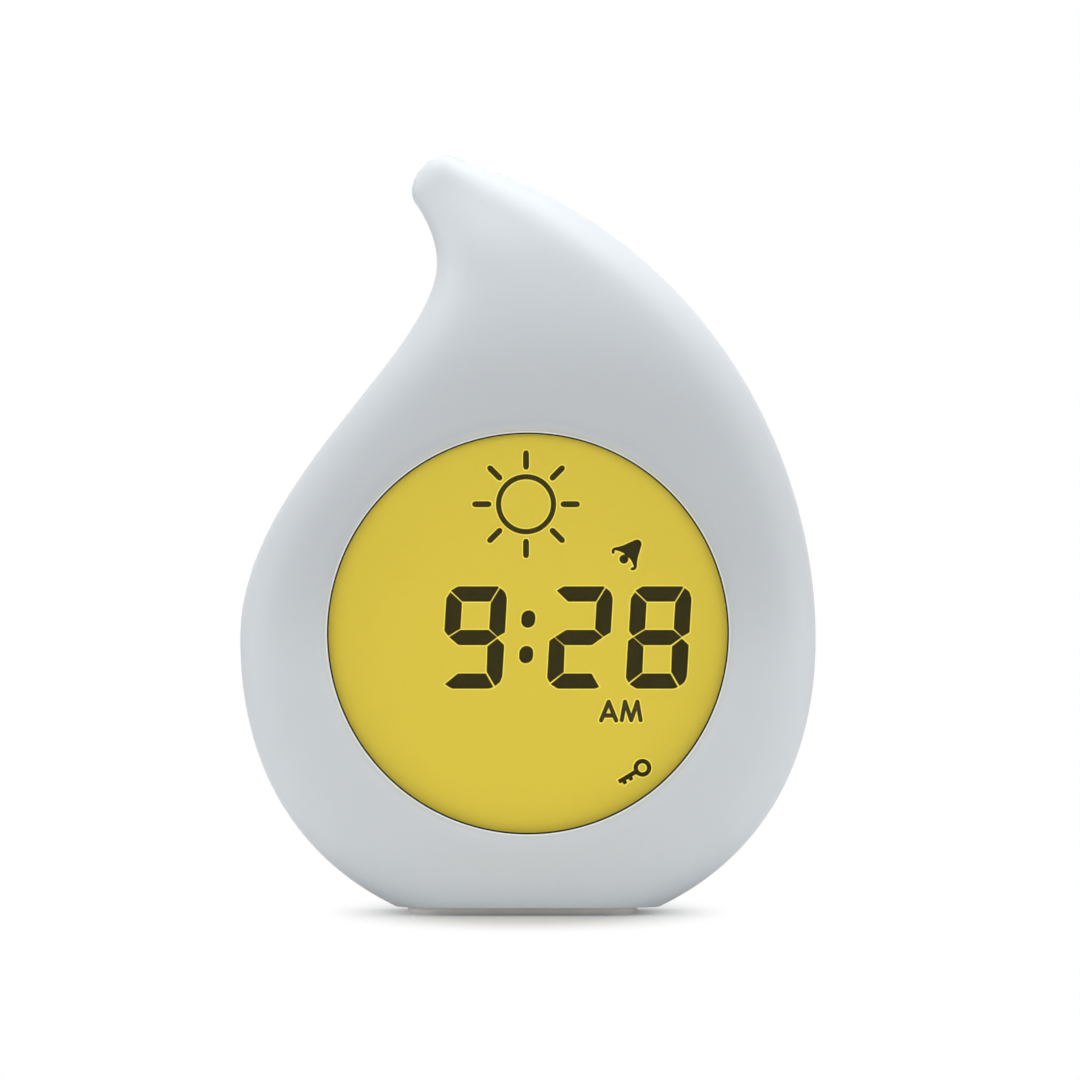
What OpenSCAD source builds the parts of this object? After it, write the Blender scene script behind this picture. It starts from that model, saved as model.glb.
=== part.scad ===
// Kids alarm clock with night light, shaped as a drop with a curled tip.
// X runs across the clock, Y from its front to its back and Z up; the origin lies under the foot,
// on the surface that the clock stands on. The two shells meet at y = 0.

/* [Body] */
// Width of the body at its waist
body_w = 115; // [114:0.5:118]
// Height of the whole clock
body_h = 151; // [149:0.5:156]
// Height of the waist, where the body is widest
waist_z = 55; // [53:0.5:57]
// How far the front bulges from the split line
front_depth = 23.5; // [23:0.1:26]
// How far the flat back lies from the split line
back_depth = 21; // [21:0.1:22]
// Thickness of the moulded walls
wall = 2.5; // [2.2:0.1:2.6]
// Thickness of the soft foot
foot_h = 1.5; // [1:0.1:2]

/* [Display] */
// Diameter of the opening in the front
display_d = 80; // [76:0.5:80]
// Height of the display's centre
display_z = 56.3; // [55:0.1:57]
// Depth of the window's face from the split line
window_depth = 19.5; // [19:0.1:20]
// Radius of the rounded lip round the opening
lip_r = 3.3; // [2.8:0.1:3.5]

/* [Keys] */
// Diameter of the four small keys
key_d = 8.4; // [7.5:0.1:8.8]
// Diameter of the light key
light_key_d = 11; // [10:0.1:11.4]
// How far a key stands out of the back
key_proud = 1; // [0.6:0.1:1.5]
// How far a key travels when pressed
key_travel = 0.8; // [0.5:0.1:0.9]
// Gap round a key in its hole
key_gap = 0.4; // [0.3:0.05:0.5]
// How far the alarm switch knob slides
knob_travel = 4; // [3:0.5:4]

/* [Batteries] */
// Diameter of an AAA cell
cell_d = 10.4; // [10:0.1:10.5]
// Length of an AAA cell with its button
cell_l = 44.5; // [44:0.1:44.5]
// Gap between the battery door and its opening
door_gap = 0.3; // [0.2:0.05:0.4]

/* [Hidden] */
$fn = 48;

// Outline of the drop, as cubic curves in X and Z: one low curve for both sides, one curve up the
// right side, and two up the left side, which meet in the hollow of the neck.
side = body_w / 2;
top = body_h;
floor_z = foot_h;
low_curve = [[26.5, floor_z], [42.8, 9.3], [side, 25.5], [side, waist_z]];
right_curve = [[side, waist_z], [side, 92.4], [35, top - 15.5], [-13.6, top - 0.6]];
left_curve = [[-side, waist_z], [-side, 86.4], [-18.2, top - 39], [-18.2, top - 21]];
neck_curve = [[-18.2, top - 21], [-18.2, top - 16.8], [-20, top - 13], [-22.1, top - 9.6]];
// Share of the way up at which the left side passes into the neck
neck_start = 0.66;
// Half depth of the drop along the low curve and along the upper curves
low_depth = [17, 22, front_depth, front_depth];
top_depth = [front_depth, 25, 21, 5.3];
// How far the rounded tip reaches past the last straight section
tip_reach = 4.6;
// Squareness of the sections, from the waist to the tip
low_square = 4.2;
tip_square = 2.4;
low_rings = 11;
top_rings = 24;
tip_rings = 4;
outer_steps = 30;
inner_steps = 20;

// Places along Y, from the front to the back
window_y = -window_depth;
gasket_t = 0.4;
// How far the gasket stands into the opening, where it shows as a fine line
gasket_show = 0.3;
lip_y = window_y - gasket_t - 0.3;
window_t = 1.5;
cell_gap = 0.1;
lcd_y = window_y + window_t + cell_gap;
glass_t = 1.1;
guide_y = lcd_y + 2 * glass_t + cell_gap;
guide_t = 3;
sheet_y = guide_y + guide_t;
sheet_t = 0.3;
frame_back_y = sheet_y + sheet_t + cell_gap;
frame_plate_t = 1.4;
board_y = frame_back_y + frame_plate_t + 1.4;
board_t = 1.6;
board_back_y = board_y + board_t;
light_board_y = -4;
light_board_t = 1.2;
key_board_y = 10.2;
key_board_back_y = key_board_y + board_t;
inner_back_y = back_depth - 2.4;

// Display stack, as radii and half widths round the display's centre
opening_r = display_d / 2;
window_r = 43.5;
lcd_half = 40.4;
ledge_half_w = 10;
ledge_h = 2.2;
frame_r = 46.4;
frame_fit = 0.2;
seat_wall = 1.8;
ear_x = 47.3;
ear_z = 14;
ear_r = 2.7;

// Screws: radius of the shaft, radius of the head and height of the head
small_shaft_r = 0.9;
small_head_r = 1.9;
small_head_h = 1.2;
large_shaft_r = 1.25;
large_head_r = 2.6;
large_head_h = 1.8;
// Ends of the housing screws' bosses in the rear cover
boss_end_y = 1;
boss_floor_y = 5.8;

// Stiffening ribs: their thickness, where those of the front shell end, and those of the cover start
rib_t = 1.2;
front_rib_y = -15;
boss_rib_y = 12;
side_rib_y = 15;
side_rib_x = 42;

// Places in X and Z of what is screwed
housing_screw_at = [[-35, 30], [35, 30], [-20, 92], [28, 92]];
board_screw_at = [[-27, 35], [27, 35], [-27, 84], [27, 84]];
light_screw_at = [[-12, 111], [20, 111]];
key_screw_at = [[-24.5, 59.5], [24.5, 59.5], [-24.5, 77.5], [24.5, 77.5]];
frame_screw_at = [for (sx = [-1, 1], sz = [-1, 1]) [sx * ear_x, display_z + sz * ear_z]];

// Keys, as places in X and Z
light_key_at = [0, 73];
alarm_key_at = [-17, 73];
set_key_at = [17, 73];
minus_key_at = [-15.5, 61.5];
plus_key_at = [15.5, 61.5];
switch_at = [0, 61.5];
socket_at = [-31, 68];
small_key_at = [alarm_key_at, set_key_at, minus_key_at, plus_key_at];
key_flange_over = 1.3;
key_flange_y = inner_back_y - 1.4;
key_flange_t = 1.3;
key_stem_r = 1.6;
key_well_r = 1.9;
key_well_y = 13.6;
key_stem_y = key_well_y + key_travel + 0.2;
tact_half = 3;
tact_y = 15.2;

// Speaker
speaker_at = [4, 95];
speaker_r = 12;
speaker_y = 13.6;
speaker_foam_t = 0.6;
grille_pitch = 4;
grille_hole_r = 1.1;

// Battery compartment: three cells lie along X, one above another
cell_r = cell_d / 2;
cell_pitch = cell_d + 0.5;
cell_z = [for (i = [0:2]) 35.5 + (i - 1) * cell_pitch];
cell_y = back_depth - 2.4 - cell_r;
contact_t = 0.4;
bay_half_x = 25.4;
bay_low = cell_z[0] - cell_r - 0.2;
bay_high = cell_z[2] + cell_r + 0.2;
bay_wall = 1.5;
bay_floor_y = cell_y - cell_r - 0.1;
door_t = 2;
door_half_x = bay_half_x + 1.1;
door_low = bay_low - 1;
door_high = bay_high + 1;
door_inner_y = back_depth - door_t;
// The door's tongue below carries its screw, and two tabs above hook behind the back
tongue_r = 5.5;
tongue_z = door_low - 0.4;
door_screw_z = tongue_z - 2.2;
door_screw_r = 1.3;
door_head_r = 2.2;
door_head_h = 1.2;
door_screw_end_y = door_inner_y - 4.2;
tab_x = 16;
tab_w = 8;
tab_top = door_high + 1.8;

// Curves and sections

function bezier(p, t) = (1 - t) ^ 3 * p[0] + 3 * (1 - t) ^ 2 * t * p[1]
    + 3 * (1 - t) * t ^ 2 * p[2] + t ^ 3 * p[3];

function bezier_slope(p, t) = (1 - t) ^ 2 * (p[1] - p[0]) + 2 * (1 - t) * t * (p[2] - p[1])
    + t ^ 2 * (p[3] - p[2]);

function unit(v) = v / norm(v);

function blend(a, b, t) = a + (b - a) * t;

// A point of an upward curve, moved inward by inset: hand is 1 on the right side, -1 on the left
function inset_point(p, t, inset, hand) = let(d = unit(bezier_slope(p, t)))
    bezier(p, t) + inset * hand * [-d.y, d.x];

function left_point(t, inset) = t < neck_start
    ? inset_point(left_curve, t / neck_start, inset, -1)
    : inset_point(neck_curve, (t - neck_start) / (1 - neck_start), inset, -1);

// A section is [left end, right end, half depth, squareness]
function low_section(t, inset) = let(p = inset_point(low_curve, t, inset, 1))
    [[-p.x, p.y], p, bezier(low_depth, t) - inset, low_square];

function top_section(t, inset) = [left_point(t, inset), inset_point(right_curve, t, inset, 1),
    bezier(top_depth, t) - inset, blend(low_square, tip_square, t)];

// The rounded tip: the last section shrinks as a quarter ellipse while it moves outward
function tip_section(angle, inset) = let(
        last = top_section(1, inset),
        middle = (last[0] + last[1]) / 2,
        half = (last[1] - last[0]) / 2,
        outward = unit([-half.y, half.x]),
        place = middle + outward * (tip_reach - inset) * sin(angle))
    [place - half * cos(angle), place + half * cos(angle), last[2] * cos(angle), tip_square];

function sections(inset) = [
    for (i = [0:low_rings - 1]) low_section(i / low_rings, inset),
    for (i = [0:top_rings]) top_section(i / top_rings, inset),
    for (i = [1:tip_rings]) tip_section(i * 86 / tip_rings, inset)
];

function power(v, square) = sign(v) * abs(v) ^ (2 / square);

// Half a section as points: from its right end over the front (face is -1) or back (face is 1) to
// its left end. With reach over 0 its ends run on past the split plane, for cutting.
function half_ring(s, face, steps, reach) = let(
        middle = (s[0] + s[1]) / 2,
        half = (s[1] - s[0]) / 2,
        arc = [for (j = [0:steps]) let(
                angle = 180 * j / steps,
                p = middle + half * power(cos(angle), s[3]))
            [p.x, face * s[2] * power(sin(angle), s[3]), p.y]],
        first = [for (p = [s[1]]) if (reach > 0) [p.x, -face * reach, p.y]],
        final = [for (p = [s[0]]) if (reach > 0) [p.x, -face * reach, p.y]])
    concat(first, arc, final);

// Half of the drop as one solid, lofted through its sections from the floor to the tip
module half_drop(face, inset, steps, reach = 0) {
    rings = [for (s = sections(inset)) half_ring(s, face, steps, reach)];
    n = len(rings[0]);
    last = len(rings) - 1;
    skin = [for (i = [0:last - 1], j = [0:n - 1]) let(a = i * n + j, b = i * n + (j + 1) % n)
        each [[a, b, a + n], [b, b + n, a + n]]];
    ends = [[for (j = [n - 1:-1:0]) j], [for (j = [0:n - 1]) last * n + j]];
    faces = concat(skin, ends);
    polyhedron([for (r = rings) each r], face < 0 ? faces : [for (f = faces) reverse(f)]);
}

function reverse(v) = [for (i = [len(v) - 1:-1:0]) v[i]];

// The drop's outline at the split plane, as a polygon in X and Z
module outline(inset) {
    s = sections(inset);
    polygon(concat([for (r = s) r[1]], [for (i = [len(s) - 1:-1:0]) s[i][0]]));
}

// Placing

// Extrudes a shape drawn in X and Z from y = from to y = to
module slab(from, to) {
    translate([0, to, 0])
        rotate([90, 0, 0])
            linear_extrude(to - from)
                children();
}

module rod(at, r, from, to) {
    slab(from, to)
        translate(at)
            circle(r);
}

module rods(places, r, from, to) {
    for (at = places)
        rod(at, r, from, to);
}

module block(from, to) {
    translate(from)
        cube(to - from);
}

module rounded(w, h, r) {
    for (sx = [-1, 1], sz = [-1, 1])
        translate([sx * (w / 2 - r), sz * (h / 2 - r)])
            circle(r);
    square([w - 2 * r, h], center = true);
    square([w, h - 2 * r], center = true);
}

// Turns a profile drawn as [radius, height] about an axis along Y through a place in X and Z; the
// profile's height counts toward the back
module turned(at, y = 0) {
    translate([at.x, y, at.y])
        rotate([-90, 0, 0])
            rotate_extrude()
                children();
}

// A screw along Y whose head lies at y = seat and whose shaft ends at y = end, with a cross cut
module screw(at, shaft_r, head_r, head_h, seat, end) {
    away = sign(seat - end);
    top_y = seat + away * head_h;
    slot_y = top_y - away * head_h / 2;
    difference() {
        union() {
            rod(at, shaft_r, min(seat, end), max(seat, end));
            rod(at, head_r, min(seat, top_y), max(seat, top_y));
        }
        slab(min(slot_y, top_y + away), max(slot_y, top_y + away))
            translate(at) {
                square([head_r * 1.3, head_r * 0.3], center = true);
                square([head_r * 0.3, head_r * 1.3], center = true);
            }
    }
}

module screws(places, shaft_r, head_r, head_h, seat, end) {
    for (at = places)
        screw(at, shaft_r, head_r, head_h, seat, end);
}

// A round wire through its points, with a slightly larger ball at each bend
module wire(points, r) {
    for (i = [0:len(points) - 2]) {
        run = points[i + 1] - points[i];
        turn = atan2(run.y, run.x);
        tilt = acos(run.z / norm(run));
        translate(points[i])
            rotate([0, tilt, turn])
                cylinder(r = r, h = norm(run), $fn = 16);
    }
    for (i = [1:len(points) - 2])
        translate(points[i])
            sphere(r = 1.15 * r, $fn = 16);
}

centre = [0, display_z];

// Housing

// What the front shell keeps inside its wall: the seat of the display frame with its bosses and
// ribs, and the posts of the night light's board
module front_inside() {
    slab(-front_depth, window_y + window_t + cell_gap)
        translate(centre)
            circle(frame_r + frame_fit + seat_wall);
    slab(lcd_y - 1, -13.5)
        translate(centre)
            difference() {
                circle(frame_r + frame_fit + seat_wall);
                circle(frame_r + frame_fit);
            }
    slab(lcd_y, frame_back_y)
        for (sx = [-1, 1], sz = [-1, 1])
            translate([sx * (frame_r + frame_fit + 6), display_z + sz * ear_z])
                square([12, 2 * ear_r + 0.6], center = true);
    rods(light_screw_at, 2.4, -front_depth, light_board_y);
    slab(-front_depth, front_rib_y)
        translate(centre)
            for (a = [0:45:315])
                rotate(a)
                    translate([frame_r + 1, -rib_t / 2])
                        square([14, rib_t]);
}

// Rounds the edge of the opening through a quarter circle, from the opening's wall to the face
module lip_cut() {
    turned(centre)
        difference() {
            translate([opening_r - 1, lip_y - lip_r - 9])
                square([lip_r + 1, lip_r + 9]);
            translate([opening_r + lip_r, lip_y])
                circle(lip_r);
        }
}

module front_shell() {
    color("whitesmoke")
        difference() {
            half_drop(-1, 0, outer_steps);
            difference() {
                half_drop(-1, wall, inner_steps, 1);
                front_inside();
            }
            lip_cut();
            rod(centre, opening_r, -front_depth - 5, 0);
            rod(centre, window_r + 0.3, window_y - gasket_t, 0);
            rod(centre, frame_r + frame_fit, lcd_y, 0);
            rods(frame_screw_at, small_shaft_r, frame_back_y - 5.5, frame_back_y + 1);
            rods(light_screw_at, small_shaft_r, light_board_y - 7, light_board_y + 1);
        }
}

// Battery compartment as it is moulded into the rear cover, with a trough for each cell
module battery_bay() {
    block([-bay_half_x - bay_wall, bay_floor_y - bay_wall, bay_low - bay_wall],
        [bay_half_x + bay_wall, inner_back_y + 0.2, bay_high + bay_wall]);
}

module battery_bay_cut() {
    trough_y = cell_y - 2.4;
    block([-bay_half_x, trough_y, bay_low], [bay_half_x, back_depth + 1, bay_high]);
    for (z = cell_z)
        translate([-bay_half_x, cell_y, z])
            rotate([0, 90, 0])
                cylinder(r = cell_r + 0.1, h = 2 * bay_half_x);
    for (sx = [-1, 1])
        block([sx * tab_x - tab_w / 2 - 0.5, cell_y, bay_high - 0.5],
            [sx * tab_x + tab_w / 2 + 0.5, door_inner_y + 0.1, bay_high + bay_wall + 0.5]);
    for (sx = [-1, 1]) {
        plate_x = sx * (bay_half_x - 0.5);
        block([plate_x - 0.5, bay_floor_y, bay_low], [plate_x + 0.5, cell_y, bay_high]);
        for (z = cell_z)
            block([plate_x - 0.5, bay_floor_y - bay_wall - 1, z - 1.2],
                [plate_x + 0.5, cell_y, z + 1.2]);
    }
}

// Shape of the battery door: a plate with a round-ended tongue below
module door_shape(gap) {
    translate([0, (door_low + door_high) / 2])
        rounded(2 * (door_half_x + gap), door_high - door_low + 2 * gap, 1.5 + gap);
    translate([0, tongue_z])
        circle(tongue_r + gap);
    translate([-tongue_r - gap, tongue_z])
        square([2 * (tongue_r + gap), 2]);
}

// Rim that centres the two shells on each other: its first 2 mm reach into the front shell
module locating_rim() {
    slab(-2, 0.1)
        rim_ring(wall + 0.2);
    slab(0, 3)
        rim_ring(wall - 0.2);
}

// The rim in plan, from an inset to the rim's inner edge; it leaves out the narrow tip
module rim_ring(from) {
    difference() {
        outline(from);
        outline(wall + 1.4);
        translate([-side, top - 26])
            square([2 * side, 40]);
    }
}

// Places of the grille's holes: a round patch of a triangular pattern
function grille_places() = [for (i = [-2:2], j = [-2:2])
    let(p = grille_pitch * [i + j / 2, j * sqrt(3) / 2])
        if (norm(p) < 2.1 * grille_pitch) p + speaker_at];

// Ribs that stiffen the back: a cross under each housing screw and one rib up each side
module rear_ribs() {
    slab(boss_rib_y, inner_back_y + 0.2)
        for (at = housing_screw_at)
            translate(at) {
                square([17, rib_t], center = true);
                square([rib_t, 17], center = true);
            }
    for (sx = [-1, 1])
        block([sx * side_rib_x - rib_t / 2, side_rib_y, 40],
            [sx * side_rib_x + rib_t / 2, inner_back_y + 0.2, 86]);
}

module rear_inside() {
    battery_bay();
    rear_ribs();
    rods(housing_screw_at, 4, boss_end_y, inner_back_y + 0.2);
    rods(key_screw_at, 2.2, key_board_back_y, inner_back_y + 0.2);
    rod([0, door_screw_z], 4, 9, inner_back_y + 0.2);
    slab(14.5, inner_back_y + 0.2)
        translate(speaker_at)
            difference() {
                circle(speaker_r + 2);
                circle(speaker_r + 0.4);
            }
}

// Everything that is cut through the flat back
module rear_holes() {
    rods(small_key_at, key_d / 2 + key_gap, inner_back_y - 1, back_depth + 1);
    rod(light_key_at, light_key_d / 2 + key_gap, inner_back_y - 1, back_depth + 1);
    slab(inner_back_y - 1, back_depth + 1)
        translate(switch_at)
            rounded(knob_travel + 5.2, 4, 1.9);
    slab(inner_back_y - 1, back_depth + 1)
        translate(socket_at)
            rounded(4, 10, 1.9);
    rods(grille_places(), grille_hole_r, inner_back_y - 1, back_depth + 1);
    rods(housing_screw_at, large_head_r + 0.4, boss_floor_y, back_depth + 1);
    rods(housing_screw_at, large_shaft_r + 0.25, boss_end_y - 1, boss_floor_y + 1);
    rods(key_screw_at, small_shaft_r, key_board_back_y - 1, key_board_back_y + 5);
    rod([0, door_screw_z], door_screw_r + 0.5, 11, back_depth + 1);
    slab(door_inner_y, back_depth + 1)
        door_shape(door_gap);
    battery_bay_cut();
}

module rear_cover() {
    color("whitesmoke")
        difference() {
            union() {
                difference() {
                    half_drop(1, 0, outer_steps);
                    block([-side - 5, back_depth, -5], [side + 5, 40, top + 5]);
                    difference() {
                        half_drop(1, wall, inner_steps, 1);
                        block([-side - 5, inner_back_y, -5], [side + 5, 40, top + 5]);
                    }
                }
                locating_rim();
                rear_inside();
            }
            rear_holes();
        }
}

module base_foot() {
    edge = 0.4;
    color("gainsboro")
        translate([-1.1, 0, 0]) {
            translate([0, 0, edge])
                linear_extrude(foot_h - edge)
                    rounded(45.8, 27, 5);
            linear_extrude(edge)
                rounded(45.8 - 2 * edge, 27 - 2 * edge, 5 - edge);
        }
}

// Display stack

module octagon(half) {
    difference() {
        square(2 * half, center = true);
        for (a = [0:90:270])
            rotate(a + 45)
                translate([half, -half])
                    square(2 * half);
    }
}

module display_gasket() {
    color("dimgray")
        slab(window_y - gasket_t, window_y)
            translate(centre)
                difference() {
                    circle(window_r);
                    circle(opening_r - gasket_show);
                }
}

module display_lens() {
    color("khaki", 0.5)
        rod(centre, window_r, window_y, window_y + window_t);
}

// Two glasses: the front one has a ledge above that carries the contacts
module lcd_panel() {
    color("darkkhaki")
        union() {
            slab(lcd_y, lcd_y + glass_t)
                translate(centre) {
                    octagon(lcd_half);
                    translate([-ledge_half_w, lcd_half - 1])
                        square([2 * ledge_half_w, ledge_h + 1]);
                }
            slab(lcd_y + glass_t, lcd_y + 2 * glass_t)
                translate(centre)
                    octagon(lcd_half);
        }
}

module light_guide() {
    color("lightyellow")
        slab(guide_y, guide_y + guide_t)
            translate(centre)
                octagon(lcd_half - 0.2);
}

module reflector_sheet() {
    color("white")
        slab(sheet_y, sheet_y + sheet_t)
            translate(centre)
                octagon(lcd_half - 0.2);
}

// Strip with five side-firing lamps under the light guide's lower edge
module backlight_leds() {
    strip_z = display_z - lcd_half - 1.4;
    color("darkgreen")
        block([-11, guide_y + 0.2, strip_z], [11, guide_y + guide_t - 0.2, strip_z + 0.8]);
    color("gold")
        for (x = [-8:4:8])
            block([x - 1.2, guide_y + 0.6, strip_z + 0.8],
                [x + 1.2, guide_y + guide_t - 0.6, strip_z + 1.5]);
}

// Rubber strip that carries the contacts from the glass ledge to the board
module lcd_connector() {
    color("pink")
        block([-ledge_half_w + 0.2, lcd_y + glass_t, display_z + lcd_half + 0.1],
            [ledge_half_w - 0.2, board_y, display_z + lcd_half + ledge_h - 0.1]);
}

module display_frame() {
    window = [46, 40];
    color("white")
        difference() {
            union() {
                rod(centre, frame_r, lcd_y, frame_back_y + frame_plate_t);
                slab(frame_back_y, frame_back_y + frame_plate_t) {
                    for (at = frame_screw_at)
                        translate(at)
                            circle(ear_r);
                    for (at = frame_screw_at)
                        translate([at.x / 2, at.y])
                            square([abs(at.x), 4], center = true);
                    for (at = housing_screw_at)
                        translate(at)
                            circle(3);
                }
                rods(housing_screw_at, 3, frame_back_y, boss_end_y - 0.1);
                rods(board_screw_at, 2.6, frame_back_y, board_y);
            }
            slab(lcd_y - 1, frame_back_y)
                translate(centre) {
                    octagon(lcd_half + 0.1);
                    translate([-ledge_half_w - 0.3, lcd_half - 1])
                        square([2 * ledge_half_w + 0.6, ledge_h + 1.2]);
                    translate([-12, -lcd_half - 2])
                        square([24, 3]);
                }
            slab(frame_back_y - 1, frame_back_y + frame_plate_t + 1)
                translate(centre) {
                    square(window, center = true);
                    translate([-ledge_half_w, lcd_half])
                        square([2 * ledge_half_w, ledge_h]);
                }
            rods(frame_screw_at, small_shaft_r + 0.1, frame_back_y - 1, frame_back_y + 3);
            rods(board_screw_at, small_shaft_r, frame_back_y - 1, board_y + 1);
            rods(housing_screw_at, large_shaft_r, frame_back_y - 1, boss_end_y + 1);
        }
}

module frame_screws() {
    seat = frame_back_y + frame_plate_t;
    color("silver")
        screws(frame_screw_at, small_shaft_r, small_head_r, small_head_h, seat, seat - 6);
}

// Boards

module main_board() {
    color("seagreen")
        difference() {
            slab(board_y, board_back_y) {
                translate([0, 59.5])
                    rounded(62, 57, 2);
                translate([-13, 86])
                    square([26, 13.3]);
            }
            rods(board_screw_at, small_shaft_r + 0.1, board_y - 1, board_back_y + 1);
        }
}

module chip_blob() {
    color("black")
        turned([-4, 62], board_back_y)
            polygon(concat([[0, 0]], [for (a = [0:10:90]) [7 * cos(a), 2.2 * sin(a)]]));
}

module quartz_crystal() {
    color("silver")
        translate([7, board_back_y + 1, 66])
            rotate([0, 90, 0])
                cylinder(r = 1, h = 6);
}

module capacitors() {
    color("midnightblue")
        for (at = [[20, 75], [20, 66]])
            rod(at, 3.15, board_back_y, board_back_y + 7);
    color("tan")
        for (i = [0:5])
            block([-16 + 2.6 * i, board_back_y, 72], [-15.2 + 2.6 * i, board_back_y + 0.6, 73.6]);
}

// Sockets for the inner leads
connector_at = [[18, 37], [8, 37], [0, 94]];

module board_connectors() {
    color("ivory")
        for (at = connector_at)
            difference() {
                slab(board_back_y, board_back_y + 4.5)
                    translate(at)
                        square([7, 4], center = true);
                slab(board_back_y + 1.2, board_back_y + 5)
                    translate(at)
                        square([5.6, 2.6], center = true);
            }
}

module board_screws() {
    color("silver")
        screws(board_screw_at, small_shaft_r, small_head_r, small_head_h, board_back_y,
            board_back_y - 4.2);
}

module night_light_board() {
    color("white")
        difference() {
            slab(light_board_y, light_board_y + light_board_t)
                translate([4, 111])
                    rounded(44, 12, 1.5);
            rods(light_screw_at, small_shaft_r + 0.1, light_board_y - 1, 0);
        }
}

// Four round-nosed lamps that face the front of the drop
module night_light_leds() {
    lamp_r = 2.3;
    color("lemonchiffon")
        for (i = [0:3])
            turned([-5.5 + 6.5 * i, 111], light_board_y)
                polygon(concat([[0, 0], [lamp_r + 0.4, 0], [lamp_r + 0.4, -0.8]],
                    [for (a = [0:10:90]) [lamp_r * cos(a), -3 - lamp_r * sin(a)]]));
}

module night_light_screws() {
    seat = light_board_y + light_board_t;
    color("silver")
        screws(light_screw_at, small_shaft_r, small_head_r, small_head_h, seat, seat - 6);
}

module key_board() {
    color("seagreen")
        difference() {
            slab(key_board_y, key_board_back_y)
                translate([-4.5, 68.5])
                    rounded(65, 23, 2);
            rods(key_screw_at, small_shaft_r + 0.1, key_board_y - 1, key_board_back_y + 1);
        }
}

// Each switch is a small square body with a well, which takes the key's stem down to its dome
module tact_switches() {
    color("dimgray")
        for (at = concat(small_key_at, [light_key_at]))
            difference() {
                slab(key_board_back_y, tact_y)
                    translate(at)
                        square(2 * tact_half, center = true);
                rod(at, key_well_r, key_well_y, tact_y + 1);
            }
}

module alarm_switch_body() {
    color("silver")
        difference() {
            slab(key_board_back_y, 15.8)
                translate(switch_at)
                    square([13, 6], center = true);
            slab(13, 17)
                translate(switch_at)
                    square([knob_travel + 3, 2.4], center = true);
        }
}

// The knob is drawn at the left end of its travel; three grooves give the finger its grip
module alarm_switch_knob() {
    color("gainsboro")
        translate([switch_at.x - knob_travel / 2, 0, switch_at.y]) {
            difference() {
                slab(inner_back_y - 0.2, back_depth + 0.8)
                    rounded(4.4, 3.3, 1);
                slab(back_depth + 0.4, back_depth + 1)
                    for (groove_x = [-1.1, 0, 1.1])
                        translate([groove_x, 0])
                            square([0.45, 2.3], center = true);
            }
            slab(inner_back_y - 1, inner_back_y - 0.1)
                square([13, 6], center = true);
            slab(13.6, inner_back_y - 0.9)
                square([2, 1.8], center = true);
        }
}

// Oval metal tube with the contact tongue inside
module usb_socket() {
    color("silver")
        difference() {
            slab(key_board_back_y, back_depth - 0.6)
                translate(socket_at)
                    rounded(3.2, 8.9, 1.55);
            slab(key_board_back_y + 2, back_depth + 1)
                translate(socket_at)
                    difference() {
                        rounded(2.6, 8.3, 1.25);
                        square([0.7, 6.7], center = true);
                    }
        }
}

module key_board_screws() {
    color("silver")
        screws(key_screw_at, small_shaft_r, small_head_r, small_head_h, key_board_y,
            key_board_back_y + 4.5);
}

// Keys

// A key: a cap with a rounded edge, a flange that keeps it in, and a stem down to its switch
module key(at, r) {
    crown_y = back_depth + key_proud;
    flange_r = r + key_flange_over;
    turned(at)
        polygon(concat(
            [[0, key_stem_y], [key_stem_r, key_stem_y], [key_stem_r, key_flange_y],
                [flange_r, key_flange_y], [flange_r, key_flange_y + key_flange_t],
                [r, key_flange_y + key_flange_t]],
            [for (a = [0:15:90]) [r - 0.6 + 0.6 * cos(a), crown_y - 0.6 + 0.6 * sin(a)]],
            [[0, crown_y + 0.15]]));
}

module light_button() {
    color("white")
        key(light_key_at, light_key_d / 2);
}

module alarm_button() {
    color("white")
        key(alarm_key_at, key_d / 2);
}

module set_button() {
    color("white")
        key(set_key_at, key_d / 2);
}

module plus_button() {
    color("white")
        key(plus_key_at, key_d / 2);
}

module minus_button() {
    color("white")
        key(minus_key_at, key_d / 2);
}

// Speaker

module speaker_frame() {
    color("silver")
        turned(speaker_at)
            polygon([[4, speaker_y], [7, speaker_y], [speaker_r - 1, 16.2], [speaker_r, 16.2],
                [speaker_r, inner_back_y - speaker_foam_t],
                [speaker_r - 1.4, inner_back_y - speaker_foam_t], [speaker_r - 1.4, 17.2],
                [6.4, speaker_y + 0.8], [4, speaker_y + 0.8]]);
}

module speaker_cone() {
    color("black")
        turned(speaker_at)
            polygon(concat(
                [[3.6, speaker_y + 1.4], [6, speaker_y + 1.4], [speaker_r - 1.4, 17.2],
                    [speaker_r - 1.4, 17.5], [5.6, speaker_y + 1.9]],
                [for (a = [0:15:90]) [4.6 * cos(a), speaker_y + 1.9 + 1.6 * sin(a)]],
                [for (a = [90:-15:0]) [4.2 * cos(a), speaker_y + 1.7 + 1.4 * sin(a)]]));
}

module speaker_magnet() {
    color("dimgray")
        union() {
            rod(speaker_at, 6, speaker_y - 3, speaker_y);
            rod(speaker_at, 3.4, speaker_y, speaker_y + 1.2);
        }
}

module speaker_gasket() {
    color("black")
        slab(inner_back_y - speaker_foam_t, inner_back_y)
            translate(speaker_at)
                difference() {
                    circle(speaker_r);
                    circle(speaker_r - 1.4);
                }
}

// Battery compartment

// Rib on the door's inner side that keeps two cells apart
module door_rib(z) {
    block([-bay_half_x + 3, inner_back_y - 1, z - 0.5],
        [bay_half_x - 3, door_inner_y + 0.1, z + 0.5]);
}

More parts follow.
